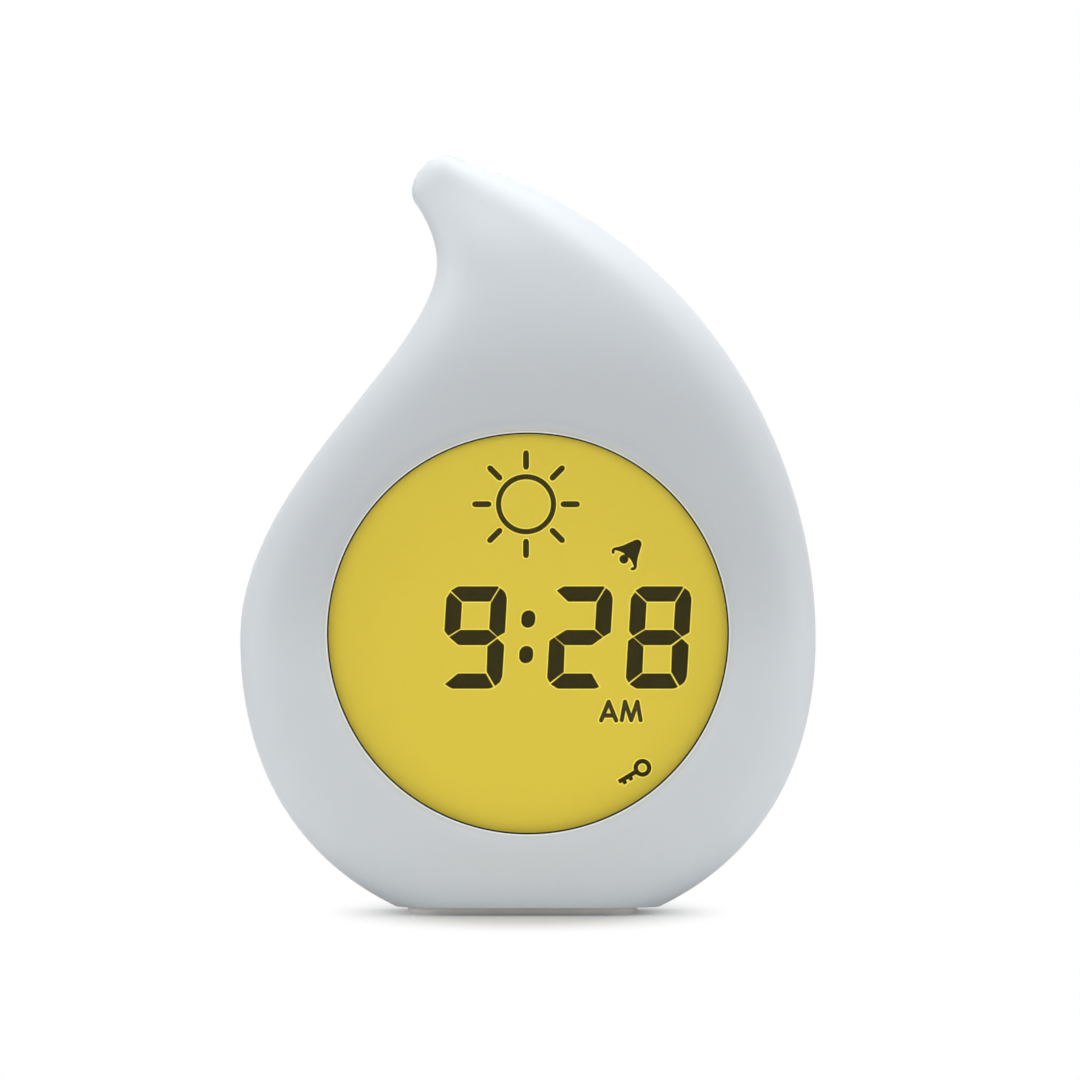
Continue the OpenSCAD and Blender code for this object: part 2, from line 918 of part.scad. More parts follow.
module battery_door() {
    color("whitesmoke")
        difference() {
            union() {
                slab(door_inner_y, back_depth)
                    door_shape(0);
                for (i = [0, 1])
                    door_rib((cell_z[i] + cell_z[i + 1]) / 2);
                for (sx = [-1, 1]) {
                    block([sx * tab_x - tab_w / 2, inner_back_y - 1.3, door_high - 1.4],
                        [sx * tab_x + tab_w / 2, door_inner_y + 0.1, door_high]);
                    block([sx * tab_x - tab_w / 2, inner_back_y - 1.3, door_high - 1.4],
                        [sx * tab_x + tab_w / 2, inner_back_y - 0.2, tab_top]);
                }
            }
            rod([0, door_screw_z], door_screw_r + 0.2, door_inner_y - 1, back_depth);
            rod([0, door_screw_z], door_head_r + 0.3, back_depth - door_head_h, back_depth + 1);
        }
}

module battery_door_screw() {
    color("silver")
        screw([0, door_screw_z], door_screw_r, door_head_r, door_head_h,
            back_depth - door_head_h, door_screw_end_y);
}

// Way each cell lies: 1 puts its button at the right
cell_way = [1, -1, 1];
button_l = 1;
cell_inner_end = bay_half_x - contact_t;

module battery_cells() {
    for (i = [0:2])
        translate([cell_way[i] * cell_inner_end, cell_y, cell_z[i]])
            rotate([0, -90 * cell_way[i], 0]) {
                color("silver")
                    cylinder(r = 1.9, h = button_l);
                color("slategray")
                    translate([0, 0, button_l])
                        cylinder(r = cell_r, h = cell_l - button_l);
            }
}

// A conical coil spring of round wire along +Z, as one swept tube
module coil_spring(r_low, r_high, h, wire_r, turns) {
    per_turn = 14;
    corners = 6;
    n = turns * per_turn;
    ring = function(i) let(
            t = i / n,
            angle = 360 * i / per_turn,
            r = blend(r_low, r_high, t),
            z = wire_r + (h - 2 * wire_r) * t)
        [for (k = [0:corners - 1]) let(
                reach = r + wire_r * cos(360 * k / corners),
                rise = z + wire_r * sin(360 * k / corners))
            [reach * cos(angle), reach * sin(angle), rise]];
    skin = [for (i = [0:n - 1], k = [0:corners - 1]) let(
            a = i * corners + k,
            b = i * corners + (k + 1) % corners)
        each [[a, a + corners, b], [b, a + corners, b + corners]]];
    polyhedron([for (i = [0:n]) each ring(i)],
        concat(skin, [[for (k = [0:corners - 1]) k],
            [for (k = [corners - 1:-1:0]) n * corners + k]]));
}

module battery_springs() {
    spring_l = 2 * cell_inner_end - cell_l;
    color("silver")
        for (i = [0:2])
            translate([-cell_way[i] * cell_inner_end, cell_y, cell_z[i]])
                rotate([0, 90 * cell_way[i], 0])
                    coil_spring(4, 2.4, spring_l, 0.3, 3);
}

// Contact plates at both ends of every cell, each with a leg through the compartment's floor
module battery_plates() {
    color("silver")
        for (sx = [-1, 1], z = cell_z) {
            low = sx > 0 ? cell_inner_end : -bay_half_x;
            block([low, bay_floor_y + 1, z - 4], [low + contact_t, cell_y + 4, z + 4]);
            block([low, bay_floor_y - bay_wall - 0.9, z - 1],
                [low + contact_t, bay_floor_y + 1, z + 1]);
        }
}

module housing_screws() {
    color("silver")
        screws(housing_screw_at, large_shaft_r, large_head_r, large_head_h, boss_floor_y, -7);
}

// Inner leads, each from its socket on the main board
lead_r = 0.5;
lead_end_y = board_back_y + 1.2;

module speaker_lead() {
    at = connector_at[1];
    for (side_x = [-1, 1])
        color(side_x < 0 ? "red" : "black")
            wire([[at.x + side_x, lead_end_y, at.y], [at.x + side_x, 1, at.y],
                [12 + side_x, 5, 80], [9 + side_x, 9, 87], [9 + side_x, speaker_y - 0.2, 89]],
                lead_r);
}

module battery_lead() {
    at = connector_at[0];
    tab_y = bay_floor_y - bay_wall - 0.9;
    tab_end_x = bay_half_x - contact_t / 2;
    for (end = [[at.x + 1, cell_z[0]], [at.x - 1, cell_z[2]]])
        color(end.x > at.x ? "red" : "black")
            wire([[end.x, lead_end_y, at.y], [end.x, 1, at.y], [tab_end_x, 1, end.y],
                [tab_end_x, tab_y, end.y]], lead_r);
}

// Flat cable from the main board up and back to the key board
module key_ribbon() {
    t = 0.6;
    low_z = 50;
    high_z = 59;
    bend_y = 2;
    color("gray")
        translate([-18, 0, 0]) {
            block([0, board_back_y, low_z], [10, bend_y, low_z + t]);
            block([0, bend_y - t, low_z], [10, bend_y, high_z + t]);
            block([0, bend_y - t, high_z], [10, key_board_y, high_z + t]);
        }
}

module light_lead() {
    at = connector_at[2];
    start_y = light_board_y + light_board_t;
    for (side_x = [-1, 1])
        color(side_x < 0 ? "red" : "black")
            wire([[at.x + side_x, lead_end_y, at.y], [at.x + side_x, 1, at.y],
                [4 + side_x, 1, 108], [4 + side_x, start_y, 108]], lead_r);
}

front_shell();
rear_cover();
base_foot();
display_gasket();
display_lens();
lcd_panel();
light_guide();
reflector_sheet();
backlight_leds();
lcd_connector();
display_frame();
frame_screws();
main_board();
chip_blob();
quartz_crystal();
capacitors();
board_connectors();
board_screws();
night_light_board();
night_light_leds();
night_light_screws();
key_board();
tact_switches();
alarm_switch_body();
alarm_switch_knob();
usb_socket();
key_board_screws();
light_button();
alarm_button();
set_button();
plus_button();
minus_button();
speaker_frame();
speaker_cone();
speaker_magnet();
speaker_gasket();
battery_door();
battery_door_screw();
battery_cells();
battery_springs();
battery_plates();
housing_screws();
speaker_lead();
battery_lead();
key_ribbon();
light_lead();
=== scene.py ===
"""Drop-shaped night light alarm clock: its visible pieces, finishes and stage."""
import math

import bmesh
import bpy
from mathutils import Matrix, Vector


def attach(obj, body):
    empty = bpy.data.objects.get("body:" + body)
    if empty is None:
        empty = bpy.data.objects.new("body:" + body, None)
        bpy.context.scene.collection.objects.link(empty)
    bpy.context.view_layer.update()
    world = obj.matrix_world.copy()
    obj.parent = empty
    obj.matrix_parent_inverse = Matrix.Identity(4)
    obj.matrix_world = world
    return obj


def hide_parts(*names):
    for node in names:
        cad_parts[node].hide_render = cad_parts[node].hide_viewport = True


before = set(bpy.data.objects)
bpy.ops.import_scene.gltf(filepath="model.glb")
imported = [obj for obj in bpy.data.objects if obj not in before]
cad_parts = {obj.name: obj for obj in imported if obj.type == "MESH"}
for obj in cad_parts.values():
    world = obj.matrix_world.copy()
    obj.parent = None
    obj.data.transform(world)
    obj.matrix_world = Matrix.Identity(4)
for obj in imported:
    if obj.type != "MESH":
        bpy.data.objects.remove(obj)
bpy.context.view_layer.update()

bl_info = {
    "name": "Drop Night Light Alarm Clock",
    "version": (1, 0, 0),
    "blender": (4, 5, 0),
    "location": "3D View > Sidebar > Clock",
    "description": "Moulds the shells, display and keys of a drop-shaped night light alarm clock",
    "category": "Add Mesh",
}

MM = 0.001

# The drop's outline in millimetres, as cubic curves in X and Z
WAIST_Z = 55.0
SIDE = 57.5
TOP = 151.0
FLOOR_Z = 1.5
LOW_CURVE = ((26.5, FLOOR_Z), (42.8, 9.3), (SIDE, 25.5), (SIDE, WAIST_Z))
RIGHT_CURVE = ((SIDE, WAIST_Z), (SIDE, 92.4), (35.0, TOP - 15.5), (-13.6, TOP - 0.6))
LEFT_CURVE = ((-SIDE, WAIST_Z), (-SIDE, 86.4), (-18.2, TOP - 39), (-18.2, TOP - 21))
NECK_CURVE = ((-18.2, TOP - 21), (-18.2, TOP - 16.8), (-20.0, TOP - 13), (-22.1, TOP - 9.6))
NECK_START = 0.66
# Lengths per share of the climb along the two left curves where they meet, and the share over which
# the one pace passes into the other
SIDE_PACE = 82.0
NECK_PACE = 37.0
PACE_BLEND = 0.12
LOW_DEPTH = (17.0, 22.0, 23.5, 23.5)
TOP_DEPTH = (23.5, 25.0, 21.0, 5.3)
TIP_REACH = 4.538
# How much of its depth the tip's dome has to lose per share of its reach where it starts
TIP_SLOPE = 0.447
LOW_SQUARE = 4.2
TIP_SQUARE = 2.4
# Surface lengths from the floor to the waist, to the last section and over the tip
CLIMB = (53.5, 148.5, 155.5)
# How often the search for the climb of a place halves its range
HALVINGS = 34
# How far the two shells' edges are eased where they meet
EASE = 0.3

# Places along Y in millimetres
LIP_Y = -20.2
WALL_END_Y = -19.95
LCD_Y = -17.9
BACK_Y = 21.0
DISPLAY_X = 0.0
DISPLAY_Z = 56.3
OPENING_R = 40.0
# Width of the painted highlight along the lip's inner edge
LIP_HIGHLIGHT_WIDTH = 0.3


def linear(hex_colour):
    """sRGB hex to the linear colour that Blender works in."""
    channels = [int(hex_colour[i:i + 2], 16) / 255 for i in (0, 2, 4)]
    return [c / 12.92 if c <= 0.04045 else ((c + 0.055) / 1.055) ** 2.4 for c in channels] + [1.0]


# Shape of the drop


def cubic(p, t):
    """A point, or a number, of a cubic curve."""
    weights = ((1 - t) ** 3, 3 * (1 - t) ** 2 * t, 3 * (1 - t) * t ** 2, t ** 3)
    if isinstance(p[0], float):
        return sum(w * v for w, v in zip(weights, p))
    return Vector((sum(w * v[0] for w, v in zip(weights, p)), sum(w * v[1] for w, v in zip(weights, p))))


def left_side(t):
    """The left side's point at this share of the climb; its pace changes softly at the neck."""
    past = t - NECK_START
    if abs(past) < PACE_BLEND:
        since = past + PACE_BLEND
        travel = SIDE_PACE * past - (SIDE_PACE - NECK_PACE) / (4 * PACE_BLEND) * since * since
        t = NECK_START + travel / (SIDE_PACE if travel < 0 else NECK_PACE)
    if t < NECK_START:
        return cubic(LEFT_CURVE, t / NECK_START)
    return cubic(NECK_CURVE, (t - NECK_START) / (1 - NECK_START))


def section(climb):
    """Left end, right end, half depth and squareness of the section that lies this far up."""
    if climb <= CLIMB[0]:
        t = climb / CLIMB[0]
        right = cubic(LOW_CURVE, t)
        return Vector((-right.x, right.y)), right, cubic(LOW_DEPTH, t), LOW_SQUARE
    t = min(1.0, (climb - CLIMB[0]) / (CLIMB[1] - CLIMB[0]))
    left = left_side(t)
    right = cubic(RIGHT_CURVE, t)
    depth = cubic(TOP_DEPTH, t)
    square = LOW_SQUARE + (TIP_SQUARE - LOW_SQUARE) * t
    if climb <= CLIMB[1]:
        return left, right, depth, square
    angle = math.pi / 2 * min(1.0, (climb - CLIMB[1]) / (CLIMB[2] - CLIMB[1]))
    middle = (left + right) / 2
    half = (right - left) / 2
    outward = Vector((-half.y, half.x)).normalized()
    place = middle + outward * TIP_REACH * math.sin(angle)
    half = half * math.cos(angle)
    reach = math.sin(angle)
    left_over = 1 - 2 * TIP_SLOPE * reach - (1 - 2 * TIP_SLOPE) * reach * reach
    return place - half, place + half, depth * math.sqrt(max(0.0, left_over)), square


def skin_point(climb, turn):
    """A point of the drop's skin: turn runs from 0 at the right edge to 180 at the left edge.
    Its second number is how far the skin stands from the split plane."""
    left, right, depth, square = section(climb)
    c = math.cos(math.radians(turn))
    s = math.sin(math.radians(turn))
    reach = (abs(c) ** square + abs(s) ** square) ** (-1 / square)
    place = (left + right) / 2 + (right - left) / 2 * c * reach
    return place.x, depth * s * reach, place.y


def skin_place(x, z):
    """The climb and turn of the skin point that lies in front of this place."""
    low, high = 0.0, CLIMB[1]
    target = Vector((x, z))
    for _ in range(HALVINGS):
        climb = (low + high) / 2
        left, right, _, square = section(climb)
        across = right - left
        rise = target - left
        if across.x * rise.y - across.y * rise.x > 0:
            low = climb
        else:
            high = climb
    half = (right - left) / 2
    u = (target - (left + right) / 2).dot(half) / half.length_squared
    w = max(0.0, 1 - abs(u) ** square) ** (1 / square)
    return climb, math.degrees(math.atan2(w, u))


def eased(climb, turn):
    """A point of the shell's edge at the split plane, moved inward by the easing."""
    x, depth, z = skin_point(climb, turn)
    left, right = section(climb)[:2]
    away = Vector((x, z)) - (left + right) / 2
    if away.length > 2 * EASE:
        x, z = Vector((x, z)) - away.normalized() * EASE
    return x, depth, z


# Making pieces


def piece(name, bm, smooth_to=None):
    """Makes an object of a bmesh that was shaped in millimetres."""
    bmesh.ops.scale(bm, vec=(MM, MM, MM), verts=bm.verts)
    mesh = bpy.data.meshes.new(name)
    bm.to_mesh(mesh)
    bm.free()
    obj = bpy.data.objects.new(name, mesh)
    bpy.context.scene.collection.objects.link(obj)
    if smooth_to is not None:
        soften(obj, smooth_to)
    return obj


def soften(obj, smooth_to):
    """Shades a piece smooth, apart from edges that turn by more than this many degrees."""
    mesh = obj.data
    mesh.polygons.foreach_set("use_smooth", [True] * len(mesh.polygons))
    mesh.set_sharp_from_angle(angle=math.radians(smooth_to))


def settle(obj):
    """Puts a piece's modifiers into its mesh."""
    bpy.context.view_layer.update()
    evaluated = obj.evaluated_get(bpy.context.evaluated_depsgraph_get())
    mesh = bpy.data.meshes.new_from_object(evaluated)
    obj.modifiers.clear()
    obj.data = mesh
    mesh.name = obj.name


def moulded_half(name, bm, way, thickness):
    """Makes a half of the shell from its open skin: closes the foot and gives it a wall on its inner
    side. way is the sign of the outer side's direction along Y."""
    bmesh.ops.remove_doubles(bm, verts=bm.verts, dist=0.002)
    foot_rim = [v for v in bm.verts if v.is_boundary and abs(v.co.z - FLOOR_Z) < 1e-3]
    bmesh.ops.contextual_create(bm, geom=foot_rim)
    bmesh.ops.recalc_face_normals(bm, faces=bm.faces)
    outermost = max(bm.faces, key=lambda face: way * face.calc_center_median().y)
    outermost.normal_update()
    if way * outermost.normal.y < 0:
        bmesh.ops.reverse_faces(bm, faces=bm.faces)
    obj = piece(name, bm)
    wall = obj.modifiers.new("wall", "SOLIDIFY")
    wall.thickness = thickness * MM
    wall.offset = -1
    wall.use_even_offset = False
    wall.use_rim = True
    settle(obj)
    return obj


def flat_piece(name, groups, y_front, y_back, grow=0.0, step=0.0):
    """Plates of the given groups of outlines in X and Z; an outline inside another of its own group
    is a hole. Grown plates overlap their neighbours, so each of seven lies a step before the last."""
    bm = bmesh.new()
    for i, loops in enumerate(groups):
        ahead = step * (i % 7)
        add_plate(bm, name, loops, y_front - ahead, y_back - ahead, grow)
    bmesh.ops.recalc_face_normals(bm, faces=bm.faces)
    bmesh.ops.scale(bm, vec=(1 / MM, 1 / MM, 1 / MM), verts=bm.verts)
    return piece(name, bm)


def add_plate(bm, name, loops, y_front, y_back, grow):
    """Adds the plate of one group of outlines, in metres."""
    curve = bpy.data.curves.new(name, "CURVE")
    curve.dimensions = "2D"
    curve.fill_mode = "BOTH"
    curve.extrude = (y_back - y_front) / 2 * MM
    curve.offset = grow * MM
    for loop in loops:
        spline = curve.splines.new("POLY")
        spline.points.add(len(loop) - 1)
        for point, place in zip(spline.points, loop):
            point.co = (place[0] * MM, place[1] * MM, 0, 1)
        spline.use_cyclic_u = True
    temporary = bpy.data.objects.new(name, curve)
    bpy.context.scene.collection.objects.link(temporary)
    bpy.context.view_layer.update()
    evaluated = temporary.evaluated_get(bpy.context.evaluated_depsgraph_get())
    mesh = bpy.data.meshes.new_from_object(evaluated)
    bpy.data.objects.remove(temporary)
    bpy.data.curves.remove(curve)
    middle = (y_front + y_back) / 2 * MM
    mesh.transform(Matrix.Translation((0, middle, 0)) @ Matrix.Rotation(math.pi / 2, 4, "X"))
    bm.from_mesh(mesh)
    bpy.data.meshes.remove(mesh)
    bmesh.ops.remove_doubles(bm, verts=bm.verts, dist=1e-7)


def cad_finish(names, material):
    """Gives CAD nodes a finish."""
    for name in names:
        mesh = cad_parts[name].data
        mesh.materials.clear()
        mesh.materials.append(material)


def soften_edges(name, width):
    """Rounds a CAD node's edges by a bevel of this width."""
    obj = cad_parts[name]
    weld = obj.modifiers.new("weld", "WELD")
    weld.merge_threshold = 0.001 * MM
    bevel = obj.modifiers.new("soft_edges", "BEVEL")
    bevel.width = width
    bevel.segments = 2
    bevel.limit_method = "ANGLE"
    bevel.angle_limit = math.radians(40)
    bevel.harden_normals = True


def finish(obj, material, body="housing", stands_for=()):
    """Gives a new piece its finish, its body and the nodes that it stands for."""
    obj.data.materials.clear()
    obj.data.materials.append(material)
    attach(obj, body)
    if stands_for:
        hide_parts(*stands_for)


# Outlines in X and Z


def circle(x, z, r, steps=48, inward=False):
    """A round outline; inward turns it the other way, for a hole."""
    way = -1 if inward else 1
    return [(x + r * math.cos(2 * math.pi * i / steps), z + way * r * math.sin(2 * math.pi * i / steps))
            for i in range(steps)]


def stroke(start, end, width, steps=8):
    """A straight stroke with round ends."""
    a, b = Vector(start), Vector(end)
    turn = math.atan2(b.y - a.y, b.x - a.x)
    r = width / 2
    outline = []
    for middle, first in ((b, -90), (a, 90)):
        for i in range(steps + 1):
            angle = turn + math.radians(first + 180 * i / steps)
            outline.append((middle.x + r * math.cos(angle), middle.y + r * math.sin(angle)))
    return outline


# Materials


def add(tree, kind, settings=None, inputs=None):
    """Adds a node with its settings and its links or values."""
    made = tree.nodes.new(kind)
    for key, value in (settings or {}).items():
        setattr(made, key, value)
    for key, value in (inputs or {}).items():
        if isinstance(value, bpy.types.NodeSocket):
            tree.links.new(value, made.inputs[key])
        else:
            made.inputs[key].default_value = value
    return made


def new_material(name):
    """An empty material with its output."""
    material = bpy.data.materials.new(name)
    material.use_nodes = True
    material.node_tree.nodes.clear()
    return material, material.node_tree


# How far a surface's roughness strays to each side
ROUGH_SPREAD = 0.05


def tinted(colour, share):
    """A linear colour made darker by this share."""
    return [channel * (1 - share) for channel in colour[:3]] + [1.0]


def moulded(name, base, patch, roughness, grain=0.4, grain_depth=0.01, patches=9.0, shader=None,
            painted_shade=None):
    """A moulded or coated surface. base and patch are the two colours that drift into each other, each
    as a hex or, for a colour from the settings, as a linear one; grain is the size of its fine
    texture and patches that of the drift, in millimetres. The last argument, where given, makes the
    socket of a share of painted shade by which the colour darkens."""
    material, tree = new_material(name)
    place = add(tree, "ShaderNodeTexCoord").outputs["Object"]
    drift, fine = [
        add(tree, "ShaderNodeTexNoise", inputs={
            "Vector": place, "Scale": 1 / (size * MM), "Detail": detail}).outputs["Fac"]
        for size, detail in ((patches, 2.0), (grain, 3.0))]
    first, second = [
        linear(colour) if isinstance(colour, str) else tinted(colour, 0) for colour in (base, patch)]
    colour = add(tree, "ShaderNodeMix", {"data_type": "RGBA"}, {"Factor": drift, "A": first, "B": second})
    result = colour.outputs["Result"]
    if painted_shade:
        dark = add(tree, "ShaderNodeMix", {"data_type": "RGBA"},
                   {"Factor": painted_shade(tree, place), "A": result, "B": linear("000000")})
        result = dark.outputs["Result"]
    rough = add(tree, "ShaderNodeMapRange", inputs={
        "Value": fine, "To Min": max(0.0, roughness - ROUGH_SPREAD), "To Max": roughness + ROUGH_SPREAD})
    bump = add(tree, "ShaderNodeBump", inputs={
        "Height": fine, "Distance": grain_depth * MM, "Strength": 1.0})
    settings = {"Base Color": result, "Roughness": rough.outputs["Result"],
                "Normal": bump.outputs["Normal"]}
    settings.update(shader or {})
    surface = add(tree, "ShaderNodeBsdfPrincipled", inputs=settings)
    add(tree, "ShaderNodeOutputMaterial", inputs={"Surface": surface.outputs["BSDF"]})
    return material


# Painted shade on the milky front wall, darker in a band above the display: its middle, how flat it
# is, where it starts to fade and ends, its depth as a share, and where along Y it fades toward the
# shell's edge; lengths are in millimetres
PAINTED_BAND_SHADE = {"x": 3.5, "z": 83.0, "flat": 0.5, "near": 20.0, "far": 44.0, "depth": 0.136,
               "full_y": -16.0, "none_y": -2.0}


def painted_band_shade(tree, place):
    """How much painted shade darkens the front wall, in a band above the display."""
    shade = PAINTED_BAND_SHADE
    flat = add(tree, "ShaderNodeMapping", inputs={
        "Vector": place, "Location": (-shade["x"] * shade["flat"] * MM, 0, -shade["z"] * MM),
        "Scale": (shade["flat"], 0, 1)})
    along = add(tree, "ShaderNodeSeparateXYZ", inputs={"Vector": place})
    most = add(tree, "ShaderNodeMapRange", inputs={
        "Value": along.outputs["Y"], "From Min": shade["full_y"] * MM, "From Max": shade["none_y"] * MM,
        "To Min": shade["depth"], "To Max": 0.0})
    away = add(tree, "ShaderNodeVectorMath", {"operation": "LENGTH"}, {0: flat.outputs["Vector"]})
    share = add(tree, "ShaderNodeMapRange", {"interpolation_type": "SMOOTHSTEP"}, {
        "Value": away.outputs["Value"], "From Min": shade["near"] * MM, "From Max": shade["far"] * MM,
        "To Min": most.outputs["Result"], "To Max": 0.0})
    return share.outputs["Result"]


def crystal(name, base, patch, shader=None):
    """What the liquid crystal shows: it lies under the polariser and has no gloss of its own."""
    return moulded(name, base, patch, 0.6, 0.5, 0.0004, 12, {"Specular IOR Level": 0.0} | (shader or {}))


def finishes(shell, display):
    """Every finish of the clock by its slot; shell and display are their settings."""
    # Milky polypropylene from a finely eroded mould: an even, soft matt white that lets a little
    # light into its wall
    milk = (shell.colour, tinted(shell.colour, 0.03), 0.5, 0.35, 0.006, 30,
            {"IOR": 1.49, "Subsurface Weight": 0.12, "Subsurface Radius": (0.004, 0.004, 0.004)})
    return {
        "milky_shell": moulded("Milky polypropylene", *milk),
        # The front wall, with a painted shade in a band above the display
        "front_milk_painted_shade": moulded("Milky polypropylene with painted shade", *milk, painted_band_shade),
        # A painted highlight along the lip's inner edge: the same plastic, paler and faintly glowing
        "painted_lip_highlight": moulded("Painted highlight on the lip's inner edge", "E6EFFF", "E2EBFC", 0.25, 0.35,
                                0.001, 30, {"IOR": 1.49, "Emission Color": linear("E8F0FF"),
                                            "Emission Strength": 0.12}),
        # Satin ABS keys, a shade greyer than the shell
        "key_plastic": moulded("Satin ABS keys", "D3D6DA", "CDD0D5", 0.42, 0.3, 0.006, 8, {"IOR": 1.53}),
        # Grey ink on the raised signs beside the keys
        "grey_print": moulded("Grey ink", "9CA1A7", "969BA1", 0.5, 0.3, 0.004, 6),
        # Cast silicone rubber: matt, slightly darker and warmer
        "soft_foot": moulded("Silicone rubber foot", "F0EEE8", "E8E6DF", 0.75, 0.3, 0.01, 6, {"IOR": 1.42}),
        # Closed-cell foam: dead matt with visible pores
        "seal_foam": moulded("Black closed-cell foam", "1E1D1A", "292722", 0.95, 0.25, 0.05, 3),
        # Thin clear acrylic window, nearly invisible from the front
        "window": moulded("Clear cast acrylic", "6A6A66", "5E5E5A", 0.1, 2.0, 0.0005, 40,
                          {"IOR": 1.49, "Alpha": 0.03}),
        # Yellow front polariser of the lit display: an even satin film
        "display_glass": moulded("Yellow polariser film", display.lit_colour,
                                 tinted(display.lit_colour, 0.02), 0.6, 0.5, 0.0004, 25,
                                 {"Specular IOR Level": 0.15,
                                  "Emission Color": tinted(display.lit_colour, 0),
                                  "Emission Strength": display.glow}),
        # Clear acrylic printed with dots too fine to show: an even pale yellow with a gloss
        "light_guide": moulded("Printed clear acrylic", "F2E9A8", "EFE59A", 0.2, 1.2, 0.01, 20,
                               {"IOR": 1.49}),
        # Drawn polyester film: a bright, even white
        "white_sheet": moulded("White polyester film", "F4F4F2", "EFEFEC", 0.5, 0.4, 0.003, 15),
        # Solder mask over glass cloth: satin green under a clear coat, slightly uneven
        "board": moulded("Green solder mask on glass-epoxy board", "1B5E33", "174F2B", 0.3, 0.8, 0.02, 2.5,
                         {"Coat Weight": 0.4}),
        # The same mask in white on metal: smooth and a little glossy
        "white_board": moulded("White solder mask on aluminium board", "ECECE6", "E2E2DB", 0.3, 0.8,
                               0.02, 4),
        # Moulded and left unpainted: a warm white with a fine satin grain
        "inner_white": moulded("Natural ABS", "E6E4DC", "E0DED6", 0.4, 0.4, 0.01, 12,
                               {"IOR": 1.53}),
        # Moulded nylon: nearly black, with a matt grain
        "black_plastic": moulded("Black nylon", "1A1A1B", "222223", 0.5, 0.3, 0.015, 5, {"IOR": 1.53}),
        # Barrel-plated steel: a soft warm grey mirror
        "steel": moulded("Nickel-plated steel", "B9B8B4", "A9A8A5", 0.28, 0.25, 0.006, 3, {"Metallic": 1.0}),
        # A pressed and plated cup: darker and duller than the steel
        "magnet": moulded("Zinc-plated ferrite magnet cup", "5B5C60", "4E4F52", 0.45, 0.3, 0.02, 4,
                          {"Metallic": 1.0}),
        # Film formed over heat: smooth and nearly black, with slight waves
        "cone": moulded("Black polyester speaker film", "131314", "1C1C1D", 0.35, 0.6, 0.02, 5),
        # Shrunk on hot: dark blue and fairly glossy
        "capacitor_sleeve": moulded("Blue heat-shrink sleeve", "1A2148", "20294F", 0.3, 0.5, 0.01, 5),
        # Cast epoxy: pale, warm and shiny
        "lamp": moulded("Clear epoxy lamp", "F6F1D8", "EEE6BE", 0.12, 1.0, 0.003, 2.5, {"IOR": 1.54}),
        # Layers of silicone with and without carbon: dull red with dark patches
        "contact_rubber": moulded("Striped silicone connector", "C98F8F", "5A3B3B", 0.6, 0.3, 0.01, 0.5),
        # Printed film under lacquer: dark grey with a clear gloss
        "cell_sleeve": moulded("Printed cell sleeve", "33373D", "2A2E33", 0.3, 0.6, 0.006, 9,
                               {"Coat Weight": 0.3}),
        # The same film where it is printed silver grey
        "cell_band": moulded("Printed band on the cell sleeve", "C9CCD0", "BFC3C8", 0.3, 0.6, 0.006, 9,
                             {"Coat Weight": 0.3}),
        # Extruded PVC: an even red, slightly waxy
        "lead": moulded("PVC lead insulation", "9C2620", "8A201B", 0.4, 0.4, 0.006, 6, {"IOR": 1.53}),
    }


# The CAD nodes that carry each finish
CAD_NODES = {
    "milky_shell": ("front_shell", "rear_cover", "battery_door"),
    "key_plastic": ("light_button", "alarm_button", "set_button", "plus_button", "minus_button",
                    "alarm_switch_knob"),
    "soft_foot": ("base_foot",),
    "seal_foam": ("display_gasket", "speaker_gasket"),
    "window": ("display_lens",),
    "display_glass": ("lcd_panel",),
    "light_guide": ("light_guide",),
    "white_sheet": ("reflector_sheet",),
    "board": ("main_board", "key_board", "backlight_leds"),
    "white_board": ("night_light_board",),
    "inner_white": ("display_frame", "board_connectors"),
    "black_plastic": ("chip_blob", "tact_switches", "alarm_switch_body"),
    "steel": ("frame_screws", "quartz_crystal", "board_screws", "night_light_screws", "usb_socket",
              "key_board_screws", "speaker_frame", "battery_door_screw", "battery_springs",
              "battery_plates", "housing_screws"),
    "magnet": ("speaker_magnet",),
    "cone": ("speaker_cone",),
    "capacitor_sleeve": ("capacitors",),
    "lamp": ("night_light_leds",),
    "contact_rubber": ("lcd_connector",),
    "cell_sleeve": ("battery_cells",),
    "lead": ("speaker_lead", "battery_lead", "key_ribbon", "light_lead"),
}
# Filled by the first operator
FINISHES = {}


# Settings


class ClockShell(bpy.types.PropertyGroup):
    """Sizes of the shell's mouldings."""
    wall: bpy.props.FloatProperty(
        name="Wall", description="Thickness of the shell's wall", default=2.5 * MM, unit="LENGTH")
    lip: bpy.props.FloatProperty(
        name="Lip", description="Width of the rounded lip round the display", default=3.5 * MM,
        unit="LENGTH")
    edge: bpy.props.FloatProperty(
        name="Edge", description="Width of the softened edges of the door, the knob and the foot",
        default=0.2 * MM, unit="LENGTH")
    colour: bpy.props.FloatVectorProperty(
        name="Colour", description="Colour of the milky shell", default=linear("D4D8DB")[:3],
        subtype="COLOR", min=0, max=1)


class ClockDisplay(bpy.types.PropertyGroup):
    """What the display shows."""
    hour: bpy.props.IntProperty(
        name="Hour", description="Hour that the display shows", default=9, min=1, max=12)
    minute: bpy.props.IntProperty(
        name="Minute", description="Minute that the display shows", default=28, min=0, max=59)
    lit_colour: bpy.props.FloatVectorProperty(
        name="Lit colour", description="Colour of the lit display", default=linear("E9D043")[:3],
        subtype="COLOR", min=0, max=1)
    glow: bpy.props.FloatProperty(
        name="Glow", description="How much light the lit display adds", default=0.1, min=0, max=1)
    dark_colour: bpy.props.FloatVectorProperty(
        name="Dark colour", description="Colour of the digits and signs", default=linear("39320A")[:3],
        subtype="COLOR", min=0, max=1)
    slant: bpy.props.FloatProperty(
        name="Slant", description="How far the digits lean", default=math.radians(3.4),
        subtype="ANGLE")
    halo: bpy.props.FloatProperty(
        name="Halo", description="Width of the paler line round each dark sign", default=0.25 * MM,
        unit="LENGTH")


